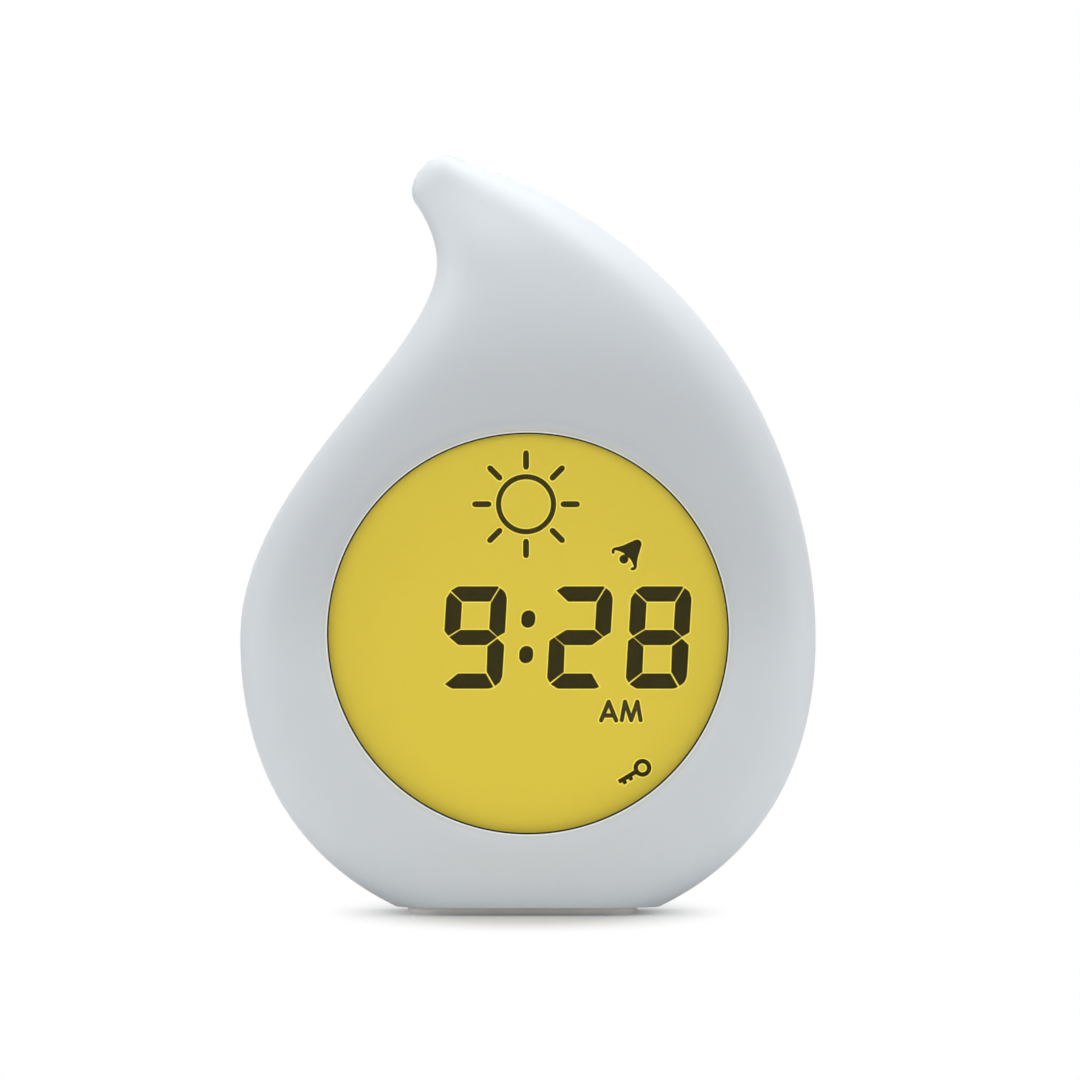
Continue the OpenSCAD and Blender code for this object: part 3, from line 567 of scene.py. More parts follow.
class ClockStage(bpy.types.PropertyGroup):
    """Camera and light."""
    elevation: bpy.props.FloatProperty(
        name="Elevation", description="Height of the camera above the horizon",
        default=math.radians(1.2), subtype="ANGLE")
    distance: bpy.props.FloatProperty(
        name="Distance", description="Distance of the camera", default=4.0, unit="LENGTH")
    view_width: bpy.props.FloatProperty(
        name="View width", description="Width that the picture takes in", default=0.216,
        unit="LENGTH")


# Operators


# The front skin's spokes round the display, and its rows over the lip and beyond it
SPOKES = 360
LIP_ROWS = 12
FACE_ROWS = 62
# Share of a spoke at which its last row but one lies, close to the edge
LAST_SHARE = 0.994
# Edges of the mouldings that turn by more degrees than this stay sharp
SMOOTH_TO = 35


class CLOCK_OT_front_shell(bpy.types.Operator):
    """Moulds the front shell: the drop's front skin with its opening and rounded lip"""
    bl_idname = "clock.front_shell"
    bl_label = "Front shell"

    def execute(self, context):
        settings = context.scene.clock_shell
        lip = settings.lip / MM
        starts, ends = self.spokes(OPENING_R + lip)
        rows = 1 + LIP_ROWS + FACE_ROWS
        bm = bmesh.new()
        bmesh.ops.create_grid(bm, x_segments=SPOKES, y_segments=rows, size=1)
        for vert in bm.verts:
            spoke = round((vert.co.x + 1) / 2 * SPOKES) % SPOKES
            row = round((vert.co.y + 1) / 2 * rows)
            angle = 2 * math.pi * spoke / SPOKES
            if row <= LIP_ROWS + 1:
                rise = math.pi / 2 * max(0, row - 1) / LIP_ROWS
                r = OPENING_R + lip * (1 - math.cos(rise))
                x = DISPLAY_X + r * math.cos(angle)
                z = DISPLAY_Z + r * math.sin(angle)
                depth = skin_point(*skin_place(x, z))[1]
                y = WALL_END_Y if row == 0 else LIP_Y - (depth + LIP_Y) * math.sin(rise)
                vert.co = (x, y, z)
            else:
                share = LAST_SHARE if row == rows - 1 else (row - LIP_ROWS - 1) / FACE_ROWS
                x, depth, z = skin_point(*starts[spoke].lerp(ends[spoke], share))
                if row == rows and ends[spoke].y in (0.0, 180.0):
                    x, depth, z = eased(*ends[spoke])
                vert.co = (x, -depth, z)
        obj = moulded_half("front_shell_moulding", bm, -1, settings.wall / MM)
        soften(obj, SMOOTH_TO)
        # The front wall takes the milk with the painted shade above the display
        finish(obj, FINISHES["front_milk_painted_shade"], stands_for=("front_shell",))
        obj.data.materials.append(FINISHES["painted_lip_highlight"])
        # The faces along the lip's inner edge take the painted highlight
        for face in obj.data.polygons:
            x, y, z = (value / MM for value in face.center)
            if math.hypot(x - DISPLAY_X, z - DISPLAY_Z) < OPENING_R + LIP_HIGHLIGHT_WIDTH and y < WALL_END_Y:
                face.material_index = 1
        return {"FINISHED"}

    def spokes(self, radius):
        """The climb and turn at which each spoke round the display passes this radius, and those at
        which it meets the skin's edge."""
        centre_climb = skin_place(DISPLAY_X, DISPLAY_Z)[0]
        starts = []
        ends = []
        for i in range(SPOKES):
            angle = 2 * math.pi * i / SPOKES
            x = DISPLAY_X + radius * math.cos(angle)
            z = DISPLAY_Z + radius * math.sin(angle)
            start = Vector(skin_place(x, z))
            way = start - Vector((centre_climb, 90.0))
            limits = []
            if abs(way.x) > 1e-9:
                limits.append(((CLIMB[2] if way.x > 0 else 0.0) - centre_climb) / way.x)
            if abs(way.y) > 1e-9:
                limits.append(((180.0 if way.y > 0 else 0.0) - 90.0) / way.y)
            end = Vector((centre_climb, 90.0)) + way * min(limits)
            if abs(end.y - 90) > 89.999:
                end.y = 180.0 if end.y > 90 else 0.0
            starts.append(start)
            ends.append(end)
        for corner in (Vector((0.0, 0.0)), Vector((0.0, 180.0))):
            nearest = min(range(SPOKES), key=lambda i: (ends[i] - corner).length)
            ends[nearest] = corner
        return starts, ends


# The rear skin's rows up the drop and its columns round it, the turn at which its edge column ends, and
# how much thinner its wall is than the front one's
REAR_ROWS = 128
REAR_COLUMNS = 80
EDGE_TURN = 0.8
REAR_THINNER = 0.1
# The rear cover's places in X and Z, in millimetres
HOUSING_SCREWS = ((-35, 30), (35, 30), (-20, 92), (28, 92))
SMALL_KEYS = ((-17, 73), (17, 73), (-15.5, 61.5), (15.5, 61.5))
LIGHT_KEY = (0, 73)
SWITCH = (0, 61.5)
SOCKET = (-31, 68)
SPEAKER = (4, 95)
GRILLE_PITCH = 4.0
# Radii of the holes for the keys, of the grille's holes and of the screws' holes and bosses
SMALL_KEY_HOLE_R = 4.6
LIGHT_KEY_HOLE_R = 5.9
GRILLE_HOLE_R = 1.1
HOUSING_SCREW_HOLE_R = 3.0
DOOR_SCREW_HOLE_R = 1.8
BOSS_R = 4.0
# Where along Y the screws' holes and bosses start
HOUSING_SCREW_HOLE_Y = 5.8
DOOR_SCREW_HOLE_Y = 11
HOUSING_BOSS_Y = 1.0
DOOR_BOSS_Y = 9.0
CELL_Y = 13.4
CELL_Z = (24.6, 35.5, 46.4)
CELL_R = 5.2
TROUGH_R = CELL_R + 0.1
BAY_X = 25.4
BAY_LOW = 19.2
BAY_HIGH = 51.8
BAY_WALL = 1.5
BAY_FRONT_Y = 6.6
BAY_FLOOR_Y = CELL_Y - 2.4
DOOR_LOW = 18.2
DOOR_HIGH = 52.8
DOOR_INNER_Y = 19.0
DOOR_SCREW_Z = 15.6
DOOR_HALF = 26.5
DOOR_ROUND = 1.5
DOOR_GAP = 0.3
TONGUE_Z = 17.8
TONGUE_R = 5.5
TAB_X = 16.0
TAB_HALF = 4.5
TAB_REACH = 2.0
# How softly the rounded sides pass into the flat back
BACK_ROUND = 0.9
# Forms inside end within the back's wall, and cuts start inside it and end behind it
INNER_END_Y = 18.9
CUT_FROM_Y = 17.6
CUT_TO_Y = BACK_Y + 2


def rounded_outline(x, z, w, h, r, steps=6):
    """A rectangle with round corners."""
    outline = []
    for sx, sz, first in ((1, 1, 0), (-1, 1, 90), (-1, -1, 180), (1, -1, 270)):
        for i in range(steps + 1):
            angle = math.radians(first + 90 * i / steps)
            outline.append((x + sx * (w / 2 - r) + r * math.cos(angle),
                            z + sz * (h / 2 - r) + r * math.sin(angle)))
    return outline


def rod(bm, x, z, r, y_from, y_to, segments=40):
    """A cylinder along Y."""
    place = Matrix.Translation((x, (y_from + y_to) / 2, z)) @ Matrix.Rotation(math.pi / 2, 4, "X")
    bmesh.ops.create_cone(bm, cap_ends=True, segments=segments, radius1=r, radius2=r,
                          depth=y_to - y_from, matrix=place)


def block(bm, low, high):
    """A box between two corners."""
    low, high = Vector(low), Vector(high)
    bmesh.ops.create_cube(bm, size=1, matrix=Matrix.Translation((low + high) / 2) @ Matrix.Diagonal(
        (*(high - low), 1)))


def lathe(bm, profile, matrix, steps=48):
    """Turns a profile of (radius, height) about its axis; a tag marks what already lies in place."""
    verts = [bm.verts.new((radius, 0, height)) for radius, height in profile]
    edges = [bm.edges.new(pair) for pair in zip(verts, verts[1:])]
    if profile[0][0] > 0:
        edges.append(bm.edges.new((verts[-1], verts[0])))
    bmesh.ops.spin(bm, geom=verts + edges, cent=(0, 0, 0), axis=(0, 0, 1), angle=2 * math.pi,
                   steps=steps, use_merge=True)
    made = [vert for vert in bm.verts if not vert.tag]
    bmesh.ops.transform(bm, matrix=matrix, verts=made)
    for vert in made:
        vert.tag = True


def combine(obj, tool, operation):
    """Joins a tool to a piece, or cuts it out of it, and removes the tool."""
    modifier = obj.modifiers.new("combine", "BOOLEAN")
    modifier.operation = operation
    modifier.solver = "EXACT"
    modifier.use_self = True
    modifier.object = tool
    settle(obj)
    bpy.data.objects.remove(tool)


class CLOCK_OT_rear_cover(bpy.types.Operator):
    """Moulds the rear cover: the drop's rear skin, its flat back, battery compartment, holes and grille"""
    bl_idname = "clock.rear_cover"
    bl_label = "Rear cover"

    def execute(self, context):
        settings = context.scene.clock_shell
        bm = bmesh.new()
        bmesh.ops.create_grid(bm, x_segments=REAR_COLUMNS, y_segments=REAR_ROWS, size=1)
        for vert in bm.verts:
            climb = CLIMB[2] * (vert.co.y + 1) / 2
            column = round((vert.co.x + 1) / 2 * REAR_COLUMNS)
            turn = 180 * column / REAR_COLUMNS
            if column in (0, REAR_COLUMNS):
                x, depth, z = eased(climb, turn)
            else:
                turn = {1: EDGE_TURN, REAR_COLUMNS - 1: 180 - EDGE_TURN}.get(column, turn)
                x, depth, z = skin_point(climb, turn)
            blend = max(BACK_ROUND - abs(depth - BACK_Y), 0.0) / BACK_ROUND
            vert.co = (x, min(depth, BACK_Y) - blend * blend * BACK_ROUND / 4, z)
        obj = moulded_half("rear_cover_moulding", bm, 1, settings.wall / MM - REAR_THINNER)
        combine(obj, self.inner_forms(), "UNION")
        combine(obj, self.holes(), "DIFFERENCE")
        door_cut = flat_piece("door_cut", [[self.door_opening()]], DOOR_INNER_Y, CUT_TO_Y)
        combine(obj, door_cut, "DIFFERENCE")
        combine(obj, self.compartment(), "DIFFERENCE")
        soften(obj, SMOOTH_TO)
        finish(obj, FINISHES["milky_shell"], stands_for=("rear_cover",))
        return {"FINISHED"}

    def inner_forms(self):
        """The compartment's walls and the screws' bosses."""
        bm = bmesh.new()
        block(bm, (-BAY_X - BAY_WALL, BAY_FRONT_Y, BAY_LOW - BAY_WALL),
              (BAY_X + BAY_WALL, INNER_END_Y, BAY_HIGH + BAY_WALL))
        for x, z in HOUSING_SCREWS:
            rod(bm, x, z, BOSS_R, HOUSING_BOSS_Y, INNER_END_Y)
        rod(bm, 0, DOOR_SCREW_Z, BOSS_R, DOOR_BOSS_Y, INNER_END_Y)
        return piece("inner_forms", bm)

    def holes(self):
        """Everything that is cut through the flat back, apart from the compartment."""
        bm = bmesh.new()
        for x, z in SMALL_KEYS:
            rod(bm, x, z, SMALL_KEY_HOLE_R, CUT_FROM_Y, CUT_TO_Y)
        rod(bm, *LIGHT_KEY, LIGHT_KEY_HOLE_R, CUT_FROM_Y, CUT_TO_Y)
        for i in range(-2, 3):
            for j in range(-2, 3):
                x = GRILLE_PITCH * (i + j / 2)
                z = GRILLE_PITCH * j * math.sqrt(3) / 2
                if math.hypot(x, z) < 2.1 * GRILLE_PITCH:
                    rod(bm, SPEAKER[0] + x, SPEAKER[1] + z, GRILLE_HOLE_R, CUT_FROM_Y, CUT_TO_Y, 20)
        for x, z in HOUSING_SCREWS:
            rod(bm, x, z, HOUSING_SCREW_HOLE_R, HOUSING_SCREW_HOLE_Y, CUT_TO_Y)
        rod(bm, 0, DOOR_SCREW_Z, DOOR_SCREW_HOLE_R, DOOR_SCREW_HOLE_Y, CUT_TO_Y)
        tool = piece("holes", bm)
        for name, loop in (("switch_cut", rounded_outline(*SWITCH, 9.2, 4.0, 1.9)),
                           ("socket_cut", rounded_outline(*SOCKET, 4.0, 10.0, 1.9))):
            combine(tool, flat_piece(name, [[loop]], CUT_FROM_Y, CUT_TO_Y), "UNION")
        return tool

    def door_opening(self):
        """The outline of the door's opening, with its gap all round."""
        half, low, high = DOOR_HALF + DOOR_GAP, DOOR_LOW - DOOR_GAP, DOOR_HIGH + DOOR_GAP
        reach = TONGUE_R + DOOR_GAP
        outline = rounded_outline(0, (low + high) / 2, 2 * half, high - low, DOOR_ROUND + DOOR_GAP)
        tongue = [(reach * math.cos(a), TONGUE_Z + reach * math.sin(a))
                  for a in [math.radians(180 + 180 * i / 24) for i in range(25)]]
        left_low = max(i for i, place in enumerate(outline) if place[0] < 0 and place[1] < low + 1e-6)
        return outline[:left_low + 1] + [(-reach, low)] + tongue + [(reach, low)] + outline[left_low + 1:]

    def compartment(self):
        """The hollow that takes the three cells, with a trough for each."""
        bm = bmesh.new()
        block(bm, (-BAY_X, BAY_FLOOR_Y, BAY_LOW), (BAY_X, CUT_TO_Y, BAY_HIGH))
        for z in CELL_Z:
            place = Matrix.Translation((0, CELL_Y, z)) @ Matrix.Rotation(math.pi / 2, 4, "Y")
            bmesh.ops.create_cone(bm, cap_ends=True, segments=48, radius1=TROUGH_R, radius2=TROUGH_R,
                                  depth=2 * BAY_X - 0.02, matrix=place)
        for x in (-TAB_X, TAB_X):
            block(bm, (x - TAB_HALF, CELL_Y, BAY_HIGH - 0.5),
                  (x + TAB_HALF, DOOR_INNER_Y + 0.1, BAY_HIGH + TAB_REACH))
        return piece("compartment", bm)


# The cells' buttons point right, left and right
CELL_WAYS = (1, -1, 1)
CELL_END = 25.0


class CLOCK_OT_cells(bpy.types.Operator):
    """Fits three cells with their sleeves into the compartment"""
    bl_idname = "clock.cells"
    bl_label = "Cells"

    def execute(self, context):
        can = [(0, 0), (1.5, 0), (1.85, 0.2), (1.9, 0.9), (2.4, 1.0), (4.1, 1.0), (4.5, 1.15), (5.05, 1.7),
               (5.1, 2.2), (5.1, 43.6), (4.95, 44.1), (4.5, 44.4), (3.9, 44.5), (0, 44.5)]
        sleeve = [(4.3, 1.12), (4.55, 1.05), (4.9, 1.35), (5.17, 1.9), (5.17, 43.5), (5.0, 44.0),
                  (4.9, 43.9), (5.1, 43.4), (5.1, 2.0), (4.85, 1.45)]
        band = [(5.17, 2.2), (5.19, 2.2), (5.19, 9.5), (5.17, 9.5)]
        for name, profile, slot in (("cell_cans", can, "steel"), ("cell_sleeves", sleeve, "cell_sleeve"),
                                    ("cell_bands", band, "cell_sleeve")):
            bm = bmesh.new()
            for way, z in zip(CELL_WAYS, CELL_Z):
                place = Matrix.Translation((way * CELL_END, CELL_Y, z)) @ Matrix.Rotation(
                    -way * math.pi / 2, 4, "Y")
                lathe(bm, profile, place)
            bmesh.ops.remove_doubles(bm, verts=bm.verts, dist=0.001)
            bmesh.ops.recalc_face_normals(bm, faces=bm.faces)
            obj = piece(name, bm, SMOOTH_TO)
            material = FINISHES["cell_band" if name == "cell_bands" else slot]
            finish(obj, material, stands_for=("battery_cells",) if name == "cell_cans" else ())
        return {"FINISHED"}


# How far the signs beside the keys stand off the back, and how deep they are rooted in it
SIGN_HEIGHT = 0.18
SIGN_ROOT = 0.1
# Places of these signs, across and up, as they are seen from behind
PLUS = (-22.6, 61.5)
MINUS = (22.6, 61.5)
REAR_SUN = (0, 81.8)
REAR_BELL = (17, 79.9)
REAR_CLOCK = (-17, 80.6)


class CLOCK_OT_rear_signs(bpy.types.Operator):
    """Raises the small signs that are moulded beside the keys"""
    bl_idname = "clock.rear_signs"
    bl_label = "Rear signs"

    def execute(self, context):
        groups = []
        for (x, z), start, end in ((MINUS, (-1.1, 0), (1.1, 0)), (PLUS, (-1.1, 0), (1.1, 0)),
                                   (PLUS, (0, 0.35), (0, 1.1)), (PLUS, (0, -0.35), (0, -1.1))):
            groups.append([stroke((x + start[0], z + start[1]), (x + end[0], z + end[1]), 0.5)])
        groups += sun_groups(*REAR_SUN, 1.0, 0.6, [(1.4, -0.2), (2.1, -0.2), (2.1, 0.2), (1.4, 0.2)])
        x, z = REAR_BELL
        groups.append([[(x + px / 2, z + pz / 2) for px, pz in loop] for loop in bell_loops(0, 0, 0)])
        x, z = REAR_CLOCK
        groups += [[circle(x, z, 1.75), circle(x, z, 1.35, inward=True)],
                   [stroke((x, z), (x, z + 0.9), 0.35)],
                   [stroke((x + 0.3, z - 0.1), (x + 0.7, z - 0.1), 0.35)]]
        seen_from_behind = [[flipped(loop) for loop in loops] for loops in groups]
        obj = flat_piece("rear_signs", seen_from_behind, BACK_Y - SIGN_ROOT, BACK_Y + SIGN_HEIGHT)
        finish(obj, FINISHES["grey_print"])
        return {"FINISHED"}


# The seven segments of a digit, upright, in millimetres from the digit's centre
DIGIT_W = 6.05
DIGIT_H = 10.2
BAR = 3.05
SEGMENTS = ("abcdef", "bc", "abdeg", "abcdg", "bcfg", "acdfg", "acdefg", "abc", "abcdefg", "abcdfg")
# Places along X of the hour's tens and units and of the minute's
DIGIT_X = (-26.15, -10.68, 10.39, 26.07)
DIGIT_Z = 55.45
# The colon's place along X, its dots' along Z from the digits' middle, and half their straight length
# and their width
COLON_X = -0.15
COLON_Z = (3.68, -3.4)
DOT_HALF = 0.35
DOT_W = 2.8
# Places of the signs in X and Z, followed by the radii of the sun's ring and the outline of one of its
# rays, by the degrees that the bell and the key are turned, and by the sizes of the letters
SUN = (-0.38, 82.0, 6.0, 4.95, [(6.9, -0.3), (7.4, -0.6), (10.2, -0.6), (10.7, -0.3), (10.7, 0.3),
                                (10.2, 0.6), (7.4, 0.6), (6.9, 0.3)])
BELL = (19.1, 71.05, -41)
KEY = (22.8, 29.5, 211)
LETTER_A = (16.07, 38.94, 1.49, 3.72, 0.98, 0.86)
LETTER_M = (20.56, 38.98, 1.88, 1.23, 3.72, 0.84)
# How far the signs' front and back lie before the display, and the same for their pale edges
SIGN_DEPTHS = (0.07, 0.035)
EDGE_DEPTHS = (0.01, 0.002)
EDGE_STEP = 0.003


def segment_outlines():
    """Outline of each of a digit's seven segments."""
    w, h, t = DIGIT_W, DIGIT_H, BAR
    inner = w - 3.2
    mid = t / 2
    low = inner - 0.15
    return {
        "a": [(-w + 0.8, h - 0.85), (-w + 2.2, h), (w - 1.9, h), (w - 1.75, h - 0.25), (inner - 0.1, h - t),
              (-inner, h - t)],
        "b": [(w - 1.5, h - 0.3), (w - 0.5, h - 1.1), (w, h - 2.4), (w, 1.0), (w - 1.45, 0.15),
              (inner, mid + 0.25), (inner, h - t - 0.3)],
        "c": [(w - 1.45, -0.2), (w, -1.5), (w, -h + 2.5), (w - 0.4, -h + 1.3), (w - 1.35, -h + 0.5),
              (inner, -h + t + 0.3), (low, -mid - 0.25)],
        "d": [(-w + 0.7, -h + 0.9), (-inner, -h + t), (low, -h + t), (w - 1.65, -h + 0.35), (w - 2.5, -h),
              (-w + 2.2, -h)],
        "e": [(-w + 0.9, 0.05), (-inner - 0.1, -mid - 0.3), (-inner, -h + t + 0.25), (-w + 0.55, -h + 1.2),
              (-w - 0.05, -h + 2.2), (-w - 0.05, -0.65)],
        "f": [(-w + 0.75, h - 1.15), (-w, h - 2.4), (-w, 1.3), (-w + 0.85, 0.3), (-inner, mid + 0.25),
              (-inner, h - t - 0.25)],
        "g": [(-w + 1.0, 0.1), (-inner, mid), (inner - 0.1, mid), (w - 1.5, 0.05), (inner - 0.4, -mid),
              (-inner - 0.2, -mid)],
    }


def lean(outline, x, slant):
    """Leans an upright outline and puts it in its digit's place."""
    return [(x + px + math.tan(slant) * pz, DIGIT_Z + pz) for px, pz in outline]


def flipped(points):
    """The same points left for right and in the opposite order."""
    return [(-x, z) for x, z in reversed(points)]


def turned_outline(outline, x, z, degrees):
    """Turns an outline about the origin and moves it."""
    c, s = math.cos(math.radians(degrees)), math.sin(math.radians(degrees))
    return [(x + c * px - s * pz, z + s * px + c * pz) for px, pz in outline]


def sun_groups(x, z, r, hole, ray):
    """A ring and eight rays, all turned from the outline of the first one."""
    ring = [circle(x, z, r), circle(x, z, hole, inward=True)]
    return [ring] + [[turned_outline(ray, x, z, 45 * i)] for i in range(8)]


def arc(x, z, r, first, last, steps):
    """Points of an arc, by its angles in degrees."""
    return [(x + r * math.cos(math.radians(first + (last - first) * i / steps)),
             z + r * math.sin(math.radians(first + (last - first) * i / steps))) for i in range(steps + 1)]


def bell_loops(x, z, degrees):
    """A bell with a curled mouth and a round clapper, which is its origin."""
    side = [(1.42, 3.1), (1.85, 2.1), (2.42, 1.2), (2.9, 0.62)]
    curl = arc(2.25, 0.1, 0.82, 24, -90, 8) + arc(2.3, 0.1, 0.2, -100, 60, 4)
    right = arc(0.0, 3.95, 0.95, 90, 10, 6) + side + curl + [(1.6, 0.66), (0.75, 0.9)]
    clapper = arc(0.0, 0.0, 0.9, 62, -242, 20)
    return [turned_outline(right + clapper + flipped(right[1:]), x, z, degrees)]


def key_loops(x, z, degrees):
    """A key: a ring, a shank and two teeth."""
    half, r = 0.45, 1.78
    start = math.degrees(math.asin(half / r))
    teeth = [(5.5, -half), (5.5, 0.4), (4.92, 0.4), (4.92, 1.02), (4.1, 1.02), (4.1, half), (3.5, half),
             (3.5, 1.02), (2.68, 1.02), (2.68, half)]
    return [turned_outline(arc(0.0, 0.0, r, start, 360 - start, 36) + teeth, x, z, degrees),
            circle(x, z, 0.9, 32, inward=True)]


def letter_a(x, z, half, high, bar, width):
    """A round-ended A: x and z are the middle of its foot, half and high the reach of its strokes."""
    r = width / 2
    tilt = math.degrees(math.atan2(high, half))
    inner = r * math.hypot(half, high) / high

    def inner_x(rise):
        return half * (1 - rise / high) - inner

    low, top = bar - r, bar + r
    right = [(inner_x(low), low)] + arc(half, 0.0, r, 270 - tilt, 450 - tilt, 8)
    crown = arc(0.0, high, r, 90 - tilt, 90 + tilt, 6)
    crotch = high * (1 - inner / half)
    hole = [(0.0, crotch), (inner_x(top), top), (-inner_x(top), top)]
    return [[(x + px, z + pz) for px, pz in loop] for loop in (right + crown + flipped(right), hole)]


def letter_m(x, z, foot, peak, high, width):
    """A round-ended M: its feet stand foot to each side, and its peaks lie peak to each side."""
    r = width / 2
    outer_tilt = math.degrees(math.atan2(high, foot - peak))
    inner_tilt = math.degrees(math.atan2(high, peak))
    inner_reach = r * math.hypot(peak, high) / high
    outer_reach = r * math.hypot(foot - peak, high) / high
    # Where the inner sides of the outer and the inner stroke meet under a peak
    meet = high * (1 - (inner_reach + outer_reach) / foot)
    meet_x = foot - (foot - peak) * meet / high - outer_reach
    right = (arc(0.0, 0.0, r, 270, 270 + inner_tilt, 4)
             + [(meet_x, meet)]
             + arc(foot, 0.0, r, 270 - outer_tilt, 450 - outer_tilt, 8)
             + arc(peak, high, r, 90 - outer_tilt, 90 + inner_tilt, 6)
             + [(0.0, inner_reach * high / peak)])
    return [[(x + px, z + pz) for px, pz in right + flipped(right[1:-1])]]


class CLOCK_OT_display(bpy.types.Operator):
    """Prints the time and the signs on the display"""
    bl_idname = "clock.display"
    bl_label = "Display"

    def execute(self, context):
        settings = context.scene.clock_display
        outlines = segment_outlines()
        digits = []
        shown = (settings.hour // 10, settings.hour % 10, settings.minute // 10, settings.minute % 10)
        for place, (digit, x) in enumerate(zip(shown, DIGIT_X)):
            # No nought stands before an hour of one figure
            if place == 0 and digit == 0:
                continue
            for letter in SEGMENTS[digit]:
                digits.append([lean(outlines[letter], x, settings.slant)])
        for z in COLON_Z:
            dot = stroke((0, z - DOT_HALF), (0, z + DOT_HALF), DOT_W, 12)
            digits.append([lean(dot, COLON_X, settings.slant)])
        signs = [bell_loops(*BELL), key_loops(*KEY)]
        letters = [letter_a(*LETTER_A), letter_m(*LETTER_M)]
        dark = crystal("Dark liquid crystal", settings.dark_colour, tinted(settings.dark_colour, 0.1))
        brown = crystal("Brown liquid crystal", "433D0F", "3F390E")
        grey = crystal("Grey liquid crystal", "4A431F", "463F1D")
        pale = crystal("Pale edge of the liquid crystal", "FCE657", "FAE352", {
            "Emission Color": linear("FCE657"), "Emission Strength": 2.5 * settings.glow})
        for name, groups, material in (
                ("display_digits", digits, dark), ("display_signs", signs, dark),
                ("display_sun", sun_groups(*SUN), brown), ("display_letters", letters, grey)):
            obj = flat_piece(name, groups, *[LCD_Y - depth for depth in SIGN_DEPTHS])
            finish(obj, material)
            halo = flat_piece(name + "_edge", groups, *[LCD_Y - depth for depth in EDGE_DEPTHS],
                              settings.halo / MM, EDGE_STEP)
            finish(halo, pale)
        return {"FINISHED"}


class CLOCK_OT_finishes(bpy.types.Operator):
    """Gives every CAD node its finish"""
    bl_idname = "clock.finishes"
    bl_label = "Finishes"

    def execute(self, context):
        FINISHES.update(finishes(context.scene.clock_shell, context.scene.clock_display))
        for slot, names in CAD_NODES.items():
            cad_finish(names, FINISHES[slot])
        for name in ("battery_door", "alarm_switch_knob", "base_foot"):
            soften_edges(name, context.scene.clock_shell.edge)
        return {"FINISHED"}


def look_at(obj, target):
    """Turns a lamp or a camera toward a point."""
    obj.rotation_euler = (Vector(target) - obj.location).to_track_quat("-Z", "Y").to_euler()


# Each lamp's place, its width and height, and its power, in metres and watts
LAMPS = {
    "top_softbox": ((0, 0.03, 0.5), (0.5, 0.3), 1.82),
    "left_softbox": ((-0.95, 0, 0.25), (0.8, 0.9), 3.62),
    "right_softbox": ((0.95, 0, 0.25), (0.8, 0.9), 3.88),
    "front_softbox": ((0, -0.66, 0.3), (1.0, 0.12), 1.05),
    "low_softbox": ((0, -0.7, 0.05), (1.0, 0.1), 0.45),
}
LAMP_TARGET = (0, 0, 0.07)
# How strongly the surroundings light the clock
SOFT_LIGHT = 0.235
CAMERA_TARGET = (0.0024, 0, 0.0745)
SENSOR_WIDTH = 36
# The floor's radius and the grain of its paper, in millimetres
FLOOR_R = 3000
PAPER_GRAIN = 10 / 9
# Half width and half depth, in metres, of the part of the floor where the camera sees a shadow
# painted over the real one, and the share of them at which the painted shadow starts to fade
SHADOW_REACH = (0.042, 0.11)
SHADOW_FADE = 0.35


def softbox(name, place, size, power):
    """A large soft lamp."""
    lamp = bpy.data.lights.new(name, "AREA")
    lamp.shape = "RECTANGLE"
    lamp.size, lamp.size_y = size
    lamp.energy = power
    obj = bpy.data.objects.new(name, lamp)
    bpy.context.scene.collection.objects.link(obj)
    obj.location = place
    look_at(obj, LAMP_TARGET)


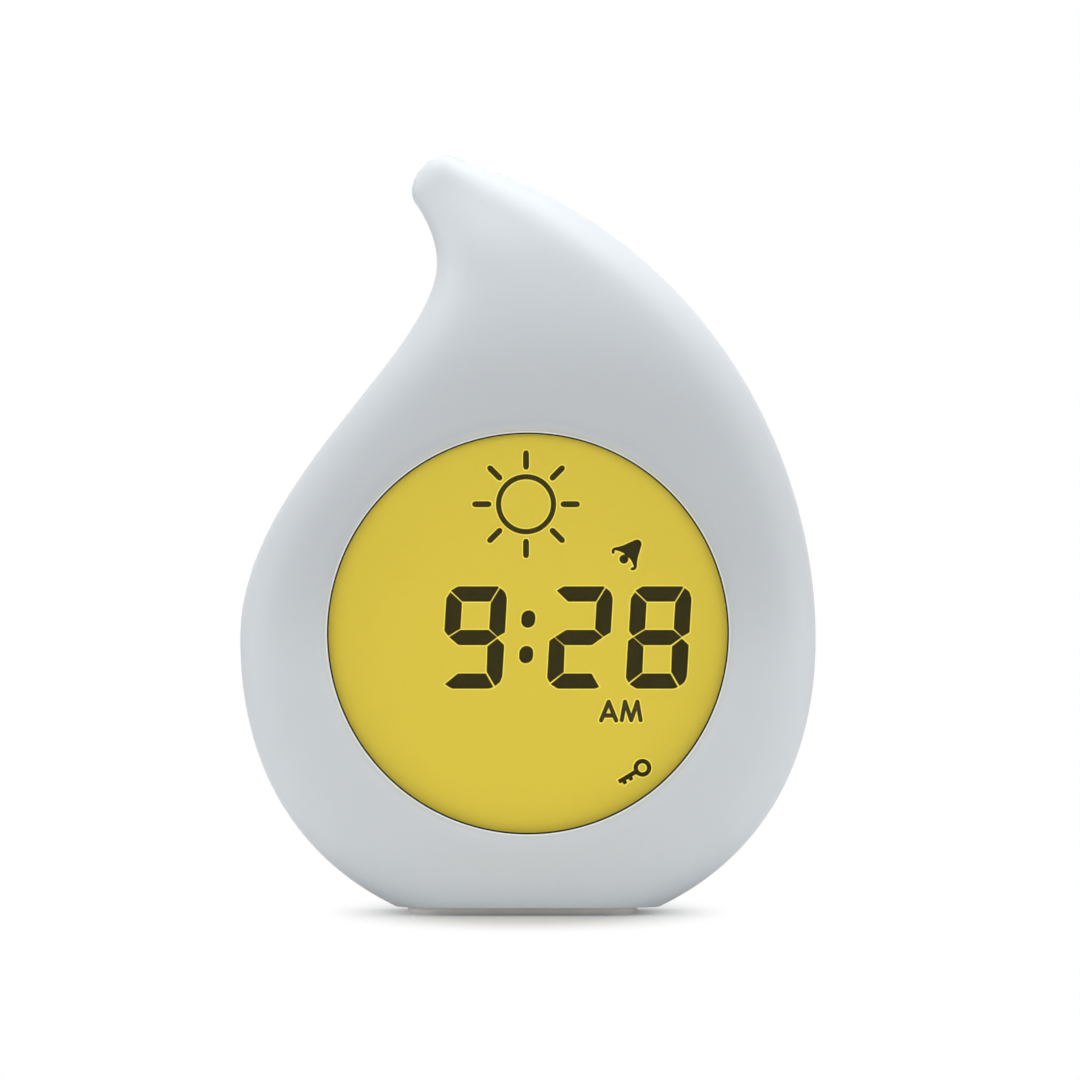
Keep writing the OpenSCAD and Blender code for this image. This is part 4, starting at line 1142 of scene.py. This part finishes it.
class CLOCK_OT_stage(bpy.types.Operator):
    """Sets the floor, the lamps, the surroundings and the camera"""
    bl_idname = "clock.stage"
    bl_label = "Stage"

    def execute(self, context):
        settings = context.scene.clock_stage
        scene = context.scene
        scene.view_settings.view_transform = "Standard"
        self.floor()
        self.surroundings(scene)
        for name, (place, size, power) in LAMPS.items():
            softbox(name, place, size, power)
        camera = bpy.data.cameras.new("camera")
        obj = bpy.data.objects.new("camera", camera)
        scene.collection.objects.link(obj)
        back = Vector((0, -math.cos(settings.elevation), math.sin(settings.elevation)))
        obj.location = Vector(CAMERA_TARGET) + back * settings.distance
        look_at(obj, CAMERA_TARGET)
        camera.sensor_width = SENSOR_WIDTH
        camera.lens = SENSOR_WIDTH * settings.distance / settings.view_width
        camera.clip_start = 0.05
        camera.clip_end = 100
        scene.camera = obj
        return {"FINISHED"}

    def surroundings(self, scene):
        """White to the eye and in gloss, softer as light."""
        world = bpy.data.worlds.new("surroundings")
        scene.world = world
        world.use_nodes = True
        tree = world.node_tree
        tree.nodes.clear()
        path = add(tree, "ShaderNodeLightPath")
        seen = add(tree, "ShaderNodeMath", {"operation": "MAXIMUM"},
                   {0: path.outputs["Is Camera Ray"], 1: path.outputs["Is Transmission Ray"]})
        seen = add(tree, "ShaderNodeMath", {"operation": "MAXIMUM"},
                   {0: seen.outputs[0], 1: path.outputs["Is Glossy Ray"]})
        white = add(tree, "ShaderNodeBackground", inputs={"Color": linear("FFFFFF"), "Strength": 1.0})
        soft = add(tree, "ShaderNodeBackground", inputs={
            "Color": linear("F6FAFF"), "Strength": SOFT_LIGHT})
        mixed = add(tree, "ShaderNodeMixShader", inputs={
            0: seen.outputs[0], 1: soft.outputs["Background"], 2: white.outputs["Background"]})
        add(tree, "ShaderNodeOutputWorld", inputs={"Surface": mixed.outputs["Shader"]})

    def floor(self):
        """A white floor with a shadow painted over its real one near the clock, passing into the white
        ground.
        """
        bm = bmesh.new()
        bmesh.ops.create_circle(bm, cap_ends=True, segments=96, radius=FLOOR_R)
        obj = piece("floor", bm)
        material, tree = new_material("White paper floor")
        place = add(tree, "ShaderNodeTexCoord").outputs["Object"]
        path = add(tree, "ShaderNodeLightPath")
        grain = add(tree, "ShaderNodeTexNoise", inputs={"Vector": place, "Scale": 1 / (PAPER_GRAIN * MM)})
        # The camera sees the paper painted grey near the clock as a painted shadow; light bounces off it
        # white
        painted_shade = add(tree, "ShaderNodeMix", {"data_type": "RGBA"},
                     {"Factor": grain.outputs["Fac"], "A": linear("D2D2D2"), "B": linear("CFCFCF")})
        colour = add(tree, "ShaderNodeMix", {"data_type": "RGBA"},
                     {"Factor": path.outputs["Is Camera Ray"], "A": linear("FAFAFA"),
                      "B": painted_shade.outputs["Result"]})
        width, depth = SHADOW_REACH
        scaled = add(tree, "ShaderNodeMapping", inputs={"Vector": place, "Scale": (1 / width, 1 / depth, 1)})
        away = add(tree, "ShaderNodeVectorMath", {"operation": "LENGTH"}, {0: scaled.outputs["Vector"]})
        fade = add(tree, "ShaderNodeMapRange", {"interpolation_type": "SMOOTHSTEP"},
                   {"Value": away.outputs["Value"], "From Min": SHADOW_FADE, "From Max": 1.0})
        seen = add(tree, "ShaderNodeMath", {"operation": "MULTIPLY"},
                   {0: fade.outputs["Result"], 1: path.outputs["Is Camera Ray"]})
        paper = add(tree, "ShaderNodeBsdfPrincipled", inputs={
            "Base Color": colour.outputs["Result"], "Roughness": 0.9, "Specular IOR Level": 0.0})
        white = add(tree, "ShaderNodeEmission", inputs={"Color": linear("FFFFFF"), "Strength": 1.0})
        mixed = add(tree, "ShaderNodeMixShader", inputs={
            0: seen.outputs[0], 1: paper.outputs["BSDF"], 2: white.outputs["Emission"]})
        add(tree, "ShaderNodeOutputMaterial", inputs={"Surface": mixed.outputs["Shader"]})
        obj.data.materials.append(material)


class CLOCK_PT_panel(bpy.types.Panel):
    """Lists the clock's settings and pieces"""
    bl_idname = "CLOCK_PT_panel"
    bl_label = "Night light alarm clock"
    bl_space_type = "VIEW_3D"
    bl_region_type = "UI"
    bl_category = "Clock"

    def draw(self, context):
        for group in GROUPS:
            settings = getattr(context.scene, group)
            box = self.layout.box()
            for key in settings.bl_rna.properties.keys():
                if key not in ("rna_type", "name"):
                    box.prop(settings, key)
        for operator in OPERATORS:
            self.layout.operator(operator.bl_idname)


GROUPS = {"clock_shell": ClockShell, "clock_display": ClockDisplay, "clock_stage": ClockStage}
OPERATORS = (CLOCK_OT_finishes, CLOCK_OT_front_shell, CLOCK_OT_rear_cover, CLOCK_OT_cells,
             CLOCK_OT_rear_signs, CLOCK_OT_display, CLOCK_OT_stage)


def register():
    """Registers the add-on's classes and settings."""
    for name, group in GROUPS.items():
        bpy.utils.register_class(group)
        setattr(bpy.types.Scene, name, bpy.props.PointerProperty(type=group))
    for operator in OPERATORS:
        bpy.utils.register_class(operator)
    bpy.utils.register_class(CLOCK_PT_panel)


def unregister():
    """Removes them again."""
    bpy.utils.unregister_class(CLOCK_PT_panel)
    for operator in reversed(OPERATORS):
        bpy.utils.unregister_class(operator)
    for name, group in GROUPS.items():
        delattr(bpy.types.Scene, name)
        bpy.utils.unregister_class(group)


def main():
    """Makes every piece in order."""
    register()
    bpy.ops.clock.finishes()
    bpy.ops.clock.front_shell()
    bpy.ops.clock.rear_cover()
    bpy.ops.clock.cells()
    bpy.ops.clock.rear_signs()
    bpy.ops.clock.display()
    bpy.ops.clock.stage()


if __name__ == "__main__":
    main()
